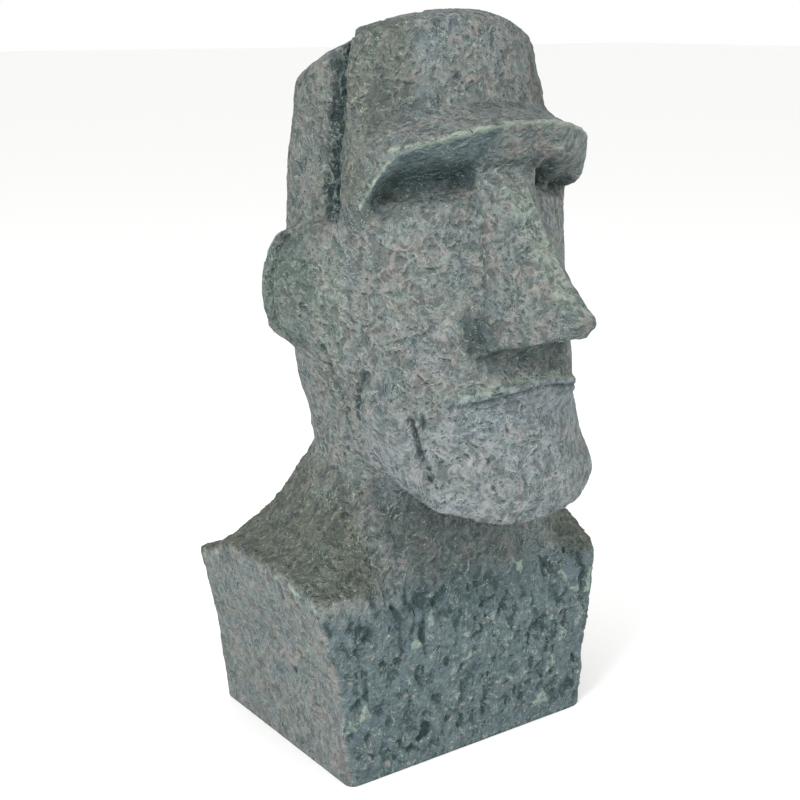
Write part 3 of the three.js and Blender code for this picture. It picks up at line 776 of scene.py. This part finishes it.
def crust(points, normal):
    """Height of the hand-worked crust over the form."""
    part = regions(points, normal)
    size = CRUST_SIZE
    warp = np.stack([noise(points, size["warp"], 40 + n) for n in range(3)], 1)
    warped = points + WARP * warp
    trowel = flakes(warped * (1, 1, 0.6), size["trowel"], 1)
    scales = flakes(warped, size["scales"], 11)
    lumps = layered(points, size["lumps"], 21)
    ridges = 1 - 2 * np.abs(layered(warped, size["ridges"], 31))
    chunks = 1 - 2 * np.abs(layered(points * (1, 1, 0.6), size["chunks"], 61))
    strokes = layered(points * (1, 1, 0.14), size["strokes"], 71, 2)
    pits = ease(0.4, 0.8, layered(warped * (1, 1, 0.7), size["pits"], 81))
    back = ease(0.4, 0.9, normal[:, 1])
    foot = ease(FOOT_SMOOTH, FOOT_CLEAR, points[:, 2]) * ease(0.5, 0.1, np.abs(normal[:, 2]))
    more_trowel = 1 + CRUST["trowel_front"] * part["torso_front"] - CRUST["trowel_back"] * back
    height = CRUST["trowel"] * trowel * more_trowel
    height += CRUST["scales"] * scales * (1 + 1.2 * part["torso_front"] + 1.2 * part["shoulder_top"])
    height += CRUST["lumps"] * lumps
    height += CRUST["ridges"] * ridges * (part["shoulder_top"] + 0.6 * part["torso_front"])
    height += CRUST["strokes"] * strokes * part["head_side"]
    height += (CRUST["chunks"] * chunks - CRUST["chunk_sink"]) * part["temple_groove"]
    height -= CRUST["pits"] * pits * (CRUST["pits_all_over"] + part["torso_front"])
    height -= gouge_depth(points)
    smooth = 1 - 0.65 * part["vault"] - 0.6 * foot - 0.5 * part["lips"]
    return height * smooth * ease(0.5, FOOT_CLEAR, points[:, 2])


def clearance(points, normal, steepness, reaches):
    """1 on open ground, towards 0 where the form shuts a point in within the given reaches."""
    shares = []
    for reach in reaches:
        clear = body(points + normal * reach) / (reach * steepness)
        shares.append(np.clip(clear, 0, 1))
    return np.mean(shares, axis=0)


def edge_share(points, normal, steepness, reach, least):
    """1 on the form's outer edges, where brushed paint catches. Least is how sharp they have to be."""
    shallow = 1 + body(points - normal * reach) / (reach * steepness)
    return ease(least, least + 0.18, shallow)


# ---------- Blender meshes ----------
def new_mesh(name, points, faces):
    mesh = bpy.data.meshes.new(name)
    mesh.from_pydata(points.tolist(), [], faces.tolist())
    return mesh


def points_of(mesh):
    flat = np.empty(3 * len(mesh.vertices), np.float32)
    mesh.vertices.foreach_get("co", flat)
    return flat.reshape(-1, 3).astype(float)


def faces_of(mesh, corners):
    flat = np.empty(len(mesh.loops), np.int32)
    mesh.loops.foreach_get("vertex_index", flat)
    return flat.reshape(-1, corners)


def reshape(mesh, points):
    mesh.vertices.foreach_set("co", points.astype(np.float32).ravel())
    mesh.update()


def modified(obj, kind, **settings):
    """Gives the object the mesh that one modifier makes of it."""
    modifier = obj.modifiers.new(kind.lower(), kind)
    for name, value in settings.items():
        setattr(modifier, name, value)
    graph = bpy.context.evaluated_depsgraph_get()
    made = bpy.data.meshes.new_from_object(obj.evaluated_get(graph))
    obj.modifiers.clear()
    obj.data = made
    return made


def store(mesh, name, values):
    """Keeps one number for each point on the mesh, for the material to read."""
    layer = mesh.attributes.new(name, "FLOAT", "POINT")
    layer.data.foreach_set("value", values.astype(np.float32))


# ---------- Materials ----------
def linear(code):
    """Linear colour of an sRGB hex value."""
    shares = [int(code[i : i + 2], 16) / 255 for i in (1, 3, 5)]
    return tuple(c / 12.92 if c <= 0.04045 else ((c + 0.055) / 1.055) ** 2.4 for c in shares)


def add(tree, kind, settings=None, inputs=None):
    """Adds a node with its settings. An input, by name or number, takes a value or another socket."""
    node = tree.nodes.new(kind)
    for name, value in (settings or {}).items():
        setattr(node, name, value)
    for name, value in (inputs or {}).items():
        if isinstance(value, bpy.types.NodeSocket):
            tree.links.new(value, node.inputs[name])
        else:
            node.inputs[name].default_value = value
    return node


def new_material(name):
    material = bpy.data.materials.new(name)
    material.use_nodes = True
    tree = material.node_tree
    tree.nodes.clear()
    shader = add(tree, "ShaderNodeBsdfPrincipled")
    add(tree, "ShaderNodeOutputMaterial", inputs={"Surface": shader.outputs["BSDF"]})
    return material, tree, shader


# Patterns of the crust. Size is the width of one lump in mm, and stretch shortens it along x, y or z.
# Name: size, stretch, detail, distortion, kind.
PATTERNS = {
    "cloud": (34, (1, 1, 1), 3, 0.0, "FBM"),
    "patch": (13, (1, 1, 1), 3, 0.6, "FBM"),
    "speck": (4.5, (1, 1, 1), 3, 0.4, "FBM"),
    "crumb": (2.4, (1, 1, 1), 3, 0.8, "FBM"),
    "wander": (11, (1, 1, 0.6), 4, 0.8, "FBM"),
    "crinkle": (7, (1, 1, 1), 4, 0.4, "RIDGED_MULTIFRACTAL"),
    "fold": (13, (1, 1, 1), 4, 0.7, "RIDGED_MULTIFRACTAL"),
    "upright": (2.6, (1, 1, 0.14), 3, 0.3, "FBM"),
    "along": (2.6, (0.16, 1, 1), 3, 0.3, "FBM"),
}
KINDS = {"FBM": {}, "RIDGED_MULTIFRACTAL": {"Offset": 1, "Gain": 2}}
PATTERN_ROUGHNESS = 0.62  # how strong each finer layer of a pattern is
PATTERN_SHIFT = 7.3  # keeps the patterns from lining up


def cast_stone(settings):
    """Resin-bound stone cast from a hand-trowelled master, stained dark and dry-brushed pale.

    The crust scatters light evenly and never shines; the dry brush only touches its ridges and edges.
    Painted shade darkens its hollows, creases, grooves and gouges, the eye hollows, the ear, the
    underside of the brow and nose, the mouth and each fold's side turned from the key light; painted
    light brightens the nose ridge, the lower face and each fold's side towards the key light. So every
    height has its own colour.
    """
    material, tree, shader = new_material("resin_bound_cast_stone_dry_brushed")
    coords = add(tree, "ShaderNodeTexCoord").outputs["Object"]
    place = add(tree, "ShaderNodeVectorMath", {"operation": "SCALE"},
                {0: coords, "Scale": 1 / METRE}).outputs[0]
    toward_light = add(tree, "ShaderNodeVectorMath", {"operation": "ADD"},
                {0: place, 1: LIGHT_STEP}).outputs[0]
    value = {name: add(tree, "ShaderNodeAttribute", {"attribute_name": name}).outputs["Fac"]
             for name in ("open", "crease", "edge", "gouge", "height", "torso_front", "shoulder_top",
                          "head_side", "vault", "socket", "temple_groove", "folded", "block_side",
                          "ear", "under_nose", "nose_line", "wing_crease", "nose_ridge", "cheek_edge",
                          "lips", "lip_edge", "slit", "rim_line", "torso_side", "lower_face",
                          "ear_side")}

    for shift, (name, (size, stretch, detail, distortion, kind)) in enumerate(PATTERNS.items()):
        places = {name: place}
        if kind == "RIDGED_MULTIFRACTAL":
            places[name + " ahead"] = toward_light
        for key, at in places.items():
            spot = add(tree, "ShaderNodeVectorMath", {"operation": "MULTIPLY_ADD"},
                       {0: at, 1: tuple(s / size for s in stretch),
                        2: (PATTERN_SHIFT * shift,) * 3}).outputs[0]
            value[key] = add(tree, "ShaderNodeTexNoise", {"noise_type": kind},
                             {"Vector": spot, "Scale": 1, "Detail": detail,
                              "Roughness": PATTERN_ROUGHNESS, "Distortion": distortion,
                              **KINDS[kind]}).outputs["Fac"]

    # Tilted flakes: in each cell the height climbs to one side and steps down at the cell's border.
    bend = add(tree, "ShaderNodeTexNoise", {}, {"Vector": place, "Scale": 1 / FLAKE_BEND, "Detail": 2})
    bent = add(tree, "ShaderNodeVectorMath", {"operation": "MULTIPLY_ADD"},
               {0: bend.outputs["Color"], 1: (FLAKE_BEND,) * 3, 2: place}).outputs[0]
    spot = add(tree, "ShaderNodeVectorMath", {"operation": "MULTIPLY_ADD"},
               {0: bent, 1: (1 / FLAKE_SIZE,) * 3, 2: (FLAKE_SIZE,) * 3}).outputs[0]
    cells = add(tree, "ShaderNodeTexVoronoi", {}, {"Vector": spot, "Scale": 1})
    away = add(tree, "ShaderNodeVectorMath", {"operation": "SUBTRACT"},
               {0: spot, 1: cells.outputs["Position"]}).outputs[0]
    tilt = add(tree, "ShaderNodeVectorMath", {"operation": "SUBTRACT"},
               {0: cells.outputs["Color"], 1: (0.5, 0.5, 0.5)}).outputs[0]
    value["flake"] = add(tree, "ShaderNodeVectorMath", {"operation": "DOT_PRODUCT"},
                         {0: away, 1: tilt}).outputs["Value"]

    # The trowelled skin lies in plates, each ending in a step: a pale line on its top edge is dry
    # brush and painted highlight, and a dark line at its foot is painted shadow.
    for name, level in (("step_foot", PLATE_EDGE - 0.01), ("torn", PLATE_EDGE + 0.01)):
        off = add(tree, "ShaderNodeMath", {"operation": "SUBTRACT"},
                  {0: value["wander"], 1: level}).outputs[0]
        value[name] = add(tree, "ShaderNodeMath", {"operation": "ABSOLUTE"}, {0: off}).outputs[0]
    value["plate"] = add(tree, "ShaderNodeMapRange", {"interpolation_type": "SMOOTHSTEP"},
                         {"Value": value["wander"], 1: PLATE_EDGE - 0.015,
                          2: PLATE_EDGE + 0.015}).outputs[0]

    # Sums of patterns, each times its share: relief in mm, and each fold's rise towards the key light,
    # for its painted light and shade.
    # Name: what it starts from, and rows of pattern and share.
    sums = {
        "crumpled": (-3.7, (("crinkle", 0.8), ("fold", 1.2))),
        "grained": (-0.6, (("crumb", 0.9), ("flake", 1.4), ("plate", 0.5))),
        "rise": (0, (("crinkle ahead", 1), ("crinkle", -1), ("fold ahead", 1), ("fold", -1))),
        "lined": (-0.5, (("upright", 1.0),)),
        "brushed": (-0.5, (("along", 1.0),)),
    }
    for name, (start, rows) in sums.items():
        value[name] = start
        for source, share in rows:
            value[name] = add(tree, "ShaderNodeMath", {"operation": "MULTIPLY_ADD"},
                              {0: value[source], 1: share, 2: value[name]}).outputs[0]
    for target, base, source, region, share in (
        ("relief", "grained", "crumpled", "folded", 1.0),
        ("relief", "relief", "lined", "head_side", 2.4),
        ("relief", "relief", "brushed", "vault", 2.0),
        ("tone", "relief", "height", None, 0.8),
    ):
        part = value[source]
        if region:
            part = add(tree, "ShaderNodeMath", {"operation": "MULTIPLY"},
                       {0: value[source], 1: value[region]}).outputs[0]
        value[target] = add(tree, "ShaderNodeMath", {"operation": "MULTIPLY_ADD"},
                            {0: part, 1: share, 2: value[base]}).outputs[0]

    # Masks: name: source, value where it is 0, value where it is 1.
    masks = {
        "warm": ("patch", 0.46, 0.58),
        "cool": ("cloud", 0.5, 0.62),
        "chip": ("speck", 0.6, 0.68),
        # painted shade where the form shuts a point in, and in its creases
        "occlusion_shade": ("open", 0.8, 0.35),
        "crease_shade": ("crease", 0.75, 0.4),
        "some": ("cloud", 0.46, 0.58),
        # painted shadow at the foot of each plate's step
        "step_shadow": ("step_foot", 0.014, 0.004),
        "torn edge": ("torn", 0.01, 0.003),
        "low": ("tone", -0.5, -1.8),
        "high": ("tone", 0.7, 2.0),
        "dent": ("crinkle", 1.9, 1.2),
        "deep fold": ("fold", 1.8, 1.1),
        "crest": ("fold", 2.05, 2.2),
        "behind": ("rise", 0.25, 0.8),  # painted shade on the side of each fold turned from the key light
        # painted highlight on the side of each fold towards the key light
        "lit_side": ("rise", -0.35, -0.95),
        "broken": ("gouge", 0.2, 0.7),
        "groove": ("temple_groove", 0.3, 0.9),
        "rim": ("edge", 0.2, 1.0),
        "ground": ("crumb", 0.3, 0.55),
    }
    for name, (source, low, high) in masks.items():
        value[name] = add(tree, "ShaderNodeMapRange", {"interpolation_type": "SMOOTHSTEP"},
                          {"Value": value[source], 1: low, 2: high}).outputs[0]

    # Coats of colour: each covers the ones before by its share times its masks.
    coats = (
        (settings.pink_grey, 0.75, "warm"),
        (settings.blue_grey, 0.6, "cool"),
        (settings.olive_grey, 0.8, "shoulder_top"),
        (settings.olive_grey, 0.25, "head_side"),
        (settings.olive_grey, 0.6, "block_side"),
        (settings.blue_stain_and_shade, 0.85, "torso_front"),
        # painted shade on the underside of the brow hood
        (settings.blue_stain_and_shade, 0.85, "vault"),
        (settings.blue_grey, 0.5, "lips"),
        (settings.beige_chip, 0.7, "chip", "torso_front"),
        (settings.beige_chip, 0.3, "chip"),
        # painted shade where the form shuts a point in, and in its creases
        (settings.dark_stain_and_shade, 0.55, "occlusion_shade"),
        (settings.dark_stain_and_shade, 0.5, "crease_shade"),
        # painted shade in the eye hollows, over the ear, under the nose, along its lower edge and in
        # the crease beside each wing
        (settings.dark_stain_and_shade, 0.6, "socket"),
        (settings.dark_stain_and_shade, 0.45, "ear"),
        (settings.dark_stain_and_shade, 0.5, "under_nose"),
        (settings.dark_stain_and_shade, 0.5, "nose_line"),
        (settings.dark_stain_and_shade, 0.75, "wing_crease"),
        (settings.dark_stain_and_shade, 0.12, "torso_side"),
        # painted shadow at the foot of each plate's step
        (settings.dark_stain_and_shade, 0.6, "step_shadow", "torso_side"),
        # painted highlight on the nose ridge, and painted light on the lower face
        (settings.pale_brush_and_light, 0.35, "nose_ridge"),
        (settings.pale_stone_and_light, 0.3, "lower_face"),
        (settings.pale_brush_and_light, 0.25, "ear_side"),
        (settings.pale_stone_and_light, 0.25, "lips"),
        (settings.pale_brush_and_light, 0.6, "lip_edge"),
        # painted shade in the slit between the lips
        (settings.dark_stain_and_shade, 0.7, "slit"),
        # painted shade in the crust's low places and in the valleys of its crinkles and folds
        (settings.dark_stain_and_shade, 0.3, "low"),
        (settings.dark_stain_and_shade, 0.5, "low", "torso_front"),
        (settings.dark_stain_and_shade, 0.25, "dent"),
        (settings.dark_stain_and_shade, 0.25, "deep fold"),
        # painted shade on the side of each fold turned from the key light
        (settings.dark_stain_and_shade, 0.75, "behind", "folded"),
        # painted shadow at the foot of each plate's step
        (settings.dark_stain_and_shade, 0.7, "step_shadow", "some"),
        # painted shade in the temple grooves, deepest in their dents and low places
        (settings.dark_stain_and_shade, 0.5, "groove"),
        (settings.dark_stain_and_shade, 0.9, "dent", "groove"),
        (settings.dark_stain_and_shade, 0.8, "low", "groove"),
        # painted shade in the gouges, darker the deeper they are
        (settings.dark_stain_and_shade, 0.65, "broken"),
        (settings.pale_brush_and_light, 0.25, "high"),
        (settings.pale_brush_and_light, 0.3, "high", "torso_front"),
        # painted highlight on the side of each fold towards the key light
        (settings.pale_brush_and_light, 0.6, "lit_side", "folded"),
        (settings.pale_brush_and_light, 0.35, "crest"),
        # dry brush on each plate's top edge, standing also as its painted highlight
        (settings.pale_brush_and_light, 0.55, "torn edge", "some"),
        (settings.pale_brush_and_light, 0.5, "cheek_edge", "ground", "chip"),
        (settings.pale_brush_and_light, 0.75, "rim", "ground"),
        (settings.pale_brush_and_light, 0.6, "rim_line"),
    )
    colour = (*settings.stone_grey, 1)
    for coat, share, *names in coats:
        for name in names:
            share = add(tree, "ShaderNodeMath", {"operation": "MULTIPLY"},
                        {0: value[name], 1: share}).outputs[0]
        colour = add(tree, "ShaderNodeMix", {"data_type": "RGBA"},
                     {0: share, 6: colour, 7: (*coat, 1)}).outputs[2]

    bump_up = add(tree, "ShaderNodeBump", {},
                  {"Strength": 1, "Distance": METRE, "Height": value["relief"]})
    tree.links.new(colour, shader.inputs["Base Color"])
    tree.links.new(bump_up.outputs["Normal"], shader.inputs["Normal"])
    shader.inputs["Roughness"].default_value = 0.88
    shader.inputs["Specular IOR Level"].default_value = 0.3
    shader.inputs["IOR"].default_value = 1.5
    return material


def studio_paper(settings):
    """Matt seamless background paper: an even, faintly mottled pale sheet with no shine."""
    material, tree, shader = new_material("matt_seamless_paper")
    coords = add(tree, "ShaderNodeTexCoord").outputs["Object"]
    fibre = add(tree, "ShaderNodeTexNoise", {},
                {"Vector": coords, "Scale": 1000 / PAPER_MOTTLE, "Detail": 3})
    colour = add(tree, "ShaderNodeMix", {"data_type": "RGBA"},
                 {0: fibre.outputs["Fac"], 6: (*settings.paper, 1),
                  7: (*(0.97 * c for c in settings.paper), 1)})
    tree.links.new(colour.outputs[2], shader.inputs["Base Color"])
    shader.inputs["Roughness"].default_value = 0.95
    return material


# ---------- Settings ----------
def colour_setting(name, description, code):
    return bpy.props.FloatVectorProperty(
        name=name, description=description, subtype="COLOR", size=3, min=0, max=1, default=linear(code)
    )


class StatueSettings(bpy.types.PropertyGroup):
    cell: bpy.props.FloatProperty(
        name="Grid", description="Spacing of the grid that draws the form", default=3.6 * METRE,
        unit="LENGTH", precision=4,
    )
    triangles: bpy.props.IntProperty(
        name="Triangles", description="Triangles that the thinned casting keeps", default=196000
    )
    crust_depth: bpy.props.FloatProperty(
        name="Crust depth", description="How deep the worked crust is, as a share of its full depth",
        default=1.0, subtype="FACTOR",
    )
    stone_grey: colour_setting("Stone", "Colour of the casting itself", "#78807d")
    pink_grey: colour_setting("Pink grey", "Warm patches of the casting", "#8a8581")
    blue_grey: colour_setting("Blue grey", "Cool patches of the casting", "#70797f")
    olive_grey: colour_setting("Olive grey", "Dust and moss stain on what faces up", "#5c5f52")
    # also the painted shade under the brow hood
    blue_stain_and_shade: colour_setting("Blue stain", "Stain on the front of the torso", "#54656a")
    beige_chip: colour_setting("Beige chips", "Bare grit that shows through", "#9f938a")
    # also the painted shade in hollows, creases, grooves, gouges, the eye hollows, the ear, the mouth,
    # under the nose and on each fold's shaded side
    dark_stain_and_shade: colour_setting("Dark stain", "Stain left in the hollows", "#1e3033")
    # also the painted light on the lower face
    pale_stone_and_light: colour_setting("Pale stone", "Rubbed, lighter stretches of the lower face", "#99a2a9")
    # dry brush, also the painted highlight on the nose ridge and on the lit side of each fold
    pale_brush_and_light: colour_setting("Pale brush", "Dry-brushed paint on ridges and edges", "#98a897")


class StudioSettings(bpy.types.PropertyGroup):
    paper: colour_setting("Paper", "Colour of the floor", "#fafaf9")
    world: bpy.props.FloatProperty(
        name="Room light", description="Strength of the even light all round", default=1.0
    )
    key_power: bpy.props.FloatProperty(
        name="Key light", description="Power of the large soft light at the statue's right",
        default=42.0, subtype="POWER",
    )
    fill_power: bpy.props.FloatProperty(
        name="Fill light", description="Power of the soft light in front", default=25.0,
        subtype="POWER",
    )
    camera_place: bpy.props.FloatVectorProperty(
        name="Camera", description="Place of the camera", default=(-0.688, -0.951, 0.606),
        subtype="TRANSLATION", unit="LENGTH",
    )
    camera_turn: bpy.props.FloatVectorProperty(
        name="Camera angle", description="Turn of the camera",
        default=(math.radians(90 - 15.3), 0, math.radians(-35.7)), subtype="EULER", unit="ROTATION",
    )
    lens: bpy.props.FloatProperty(
        name="Lens", description="Focal length", default=63.0, unit="CAMERA"
    )


# ---------- Operators ----------
FLOOR_REACH = 40  # how far the paper runs, in heights of the statue, as the next two are
LIGHT_AIM = 0.55  # height that the lights point at
LIGHTS = (  # name, width, place
    ("key", 1.6, (-3.0, -1.2, 2.2)),
    ("fill", 2.5, (1.6, -3.4, 1.6)),
)


class STATUE_OT_casting(bpy.types.Operator):
    """Builds the statue: form, worked crust, thinning and finish"""

    bl_idname = "statue.casting"
    bl_label = "Cast the statue"

    def execute(self, context):
        settings = context.scene.statue_casting
        cell = settings.cell / METRE
        margin = 3 * cell
        low = np.array([c / METRE - margin for c in LOW])
        high = np.array([c / METRE + margin for c in HIGH])
        points, quads = surface_net(body, low, high, cell)
        points = settled(body, points, cell / 3)
        piece = bpy.data.objects.new("moai_casting", new_mesh("moai_casting", points, quads))
        context.scene.collection.objects.link(piece)

        mesh = modified(piece, "SUBSURF", subdivision_type="SIMPLE", levels=1)
        quads = faces_of(mesh, 4)
        points = settled(body, points_of(mesh), cell / 4)
        points = sharpened(body, points, quads, cell / 3)
        normal = gradient(body, points)
        normal /= np.linalg.norm(normal, axis=1)[:, None] + 1e-9
        points += normal * (settings.crust_depth * crust(points, normal))[:, None]
        reshape(mesh, points)

        mesh = modified(piece, "DECIMATE", ratio=settings.triangles / (2 * len(quads)))
        mesh.name = "moai_casting"
        points = points_of(mesh)
        normal = gradient(body, points)
        steepness = np.linalg.norm(normal, axis=1) + 1e-9
        normal /= steepness[:, None]
        height = body(points) / steepness
        ground = points - normal * height[:, None]
        for name, values in regions(ground, normal).items():
            store(mesh, name, values)
        store(mesh, "height", height)
        store(mesh, "gouge", gouge_depth(ground) / FULL_GOUGE_SHADE)
        shaded = clearance(ground, normal, steepness, SHADE_REACHES)
        faces_up = 0.8 * ease(0.1, 0.6, normal[:, 2])  # what faces up gets less painted shade, as light falls on it from above
        store(mesh, "open", mix(shaded, 1, faces_up))
        store(mesh, "crease", clearance(ground, normal, steepness, CREASE_SHADE_REACHES))
        y, z = ground[:, 1], ground[:, 2]
        groove_lip = bump(y - TEMPLE["at"] + 16, 12) * ease(TEMPLE["bottom"], 470, z)
        sharp = edge_share(ground, normal, steepness, **SHARP_EDGE) * (1 - 0.85 * groove_lip)
        worn = edge_share(ground, normal, steepness, **WORN_EDGE)
        worn = worn * ease(WORN_TOP, WORN_TOP - 20, z) * ease(8, 30, z)
        store(mesh, "edge", np.maximum(sharp, worn))
        reshape(mesh, points * METRE + np.array([0, 0, LOW[2]]))
        mesh.shade_smooth()
        mesh.set_sharp_from_angle(angle=math.radians(60))
        mesh.materials.append(cast_stone(settings))
        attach(piece, "root")
        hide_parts(NODE)
        return {"FINISHED"}


class STATUE_OT_studio(bpy.types.Operator):
    """Sets the studio: paper floor, soft lights and the camera"""

    bl_idname = "statue.studio"
    bl_label = "Set the studio"

    def soft_light(self, context, name, power, width, place, aim):
        lamp = bpy.data.lights.new(name, "AREA")
        lamp.energy = power
        lamp.shape = "DISK"
        lamp.size = width
        light = bpy.data.objects.new(name, lamp)
        light.location = place
        light.rotation_euler = (Vector(aim) - Vector(place)).to_track_quat("-Z", "Y").to_euler()
        context.scene.collection.objects.link(light)

    def execute(self, context):
        settings = context.scene.statue_studio
        height = HIGH[2] - LOW[2]
        reach = FLOOR_REACH * height
        corners = np.array([(-1, -1, 0), (1, -1, 0), (1, 1, 0), (-1, 1, 0)]) * (reach, reach, 1)
        corners[:, 2] = LOW[2]
        sheet = new_mesh("paper_floor", corners, np.array([[0, 1, 2, 3]]))
        floor = bpy.data.objects.new("paper_floor", sheet)
        floor.data.materials.append(studio_paper(settings))
        context.scene.collection.objects.link(floor)

        world = bpy.data.worlds.new("soft_room")
        world.use_nodes = True
        background = world.node_tree.nodes["Background"]
        background.inputs["Color"].default_value = (1, 1, 1, 1)
        background.inputs["Strength"].default_value = settings.world
        context.scene.world = world

        aim = (0, 0, LIGHT_AIM * height)
        powers = {"key": settings.key_power, "fill": settings.fill_power}
        for name, width, place in LIGHTS:
            place = [share * height for share in place]
            self.soft_light(context, name, powers[name], width * height, place, aim)

        lens = bpy.data.cameras.new("camera")
        lens.lens = settings.lens
        lens.sensor_width = 36
        camera = bpy.data.objects.new("camera", lens)
        camera.location = settings.camera_place
        camera.rotation_euler = settings.camera_turn
        context.scene.collection.objects.link(camera)
        context.scene.camera = camera
        context.scene.view_settings.view_transform = "Standard"
        return {"FINISHED"}


class STATUE_PT_panel(bpy.types.Panel):
    """Lists the steps that build the statue, with their settings"""

    bl_idname = "STATUE_PT_panel"
    bl_label = "Moai statue"
    bl_space_type = "VIEW_3D"
    bl_region_type = "UI"
    bl_category = "Statue"

    def draw(self, context):
        for steps, settings in (
            (STATUE_OT_studio, context.scene.statue_studio),
            (STATUE_OT_casting, context.scene.statue_casting),
        ):
            column = self.layout.column()
            column.operator(steps.bl_idname)
            for name in settings.__annotations__:
                column.prop(settings, name)


CLASSES = (StatueSettings, StudioSettings, STATUE_OT_casting, STATUE_OT_studio, STATUE_PT_panel)


def register():
    for cls in CLASSES:
        bpy.utils.register_class(cls)
    bpy.types.Scene.statue_casting = bpy.props.PointerProperty(type=StatueSettings)
    bpy.types.Scene.statue_studio = bpy.props.PointerProperty(type=StudioSettings)


def unregister():
    del bpy.types.Scene.statue_studio
    del bpy.types.Scene.statue_casting
    for cls in reversed(CLASSES):
        bpy.utils.unregister_class(cls)


def main():
    register()
    bpy.ops.statue.studio()
    bpy.ops.statue.casting()


if __name__ == "__main__":
    main()
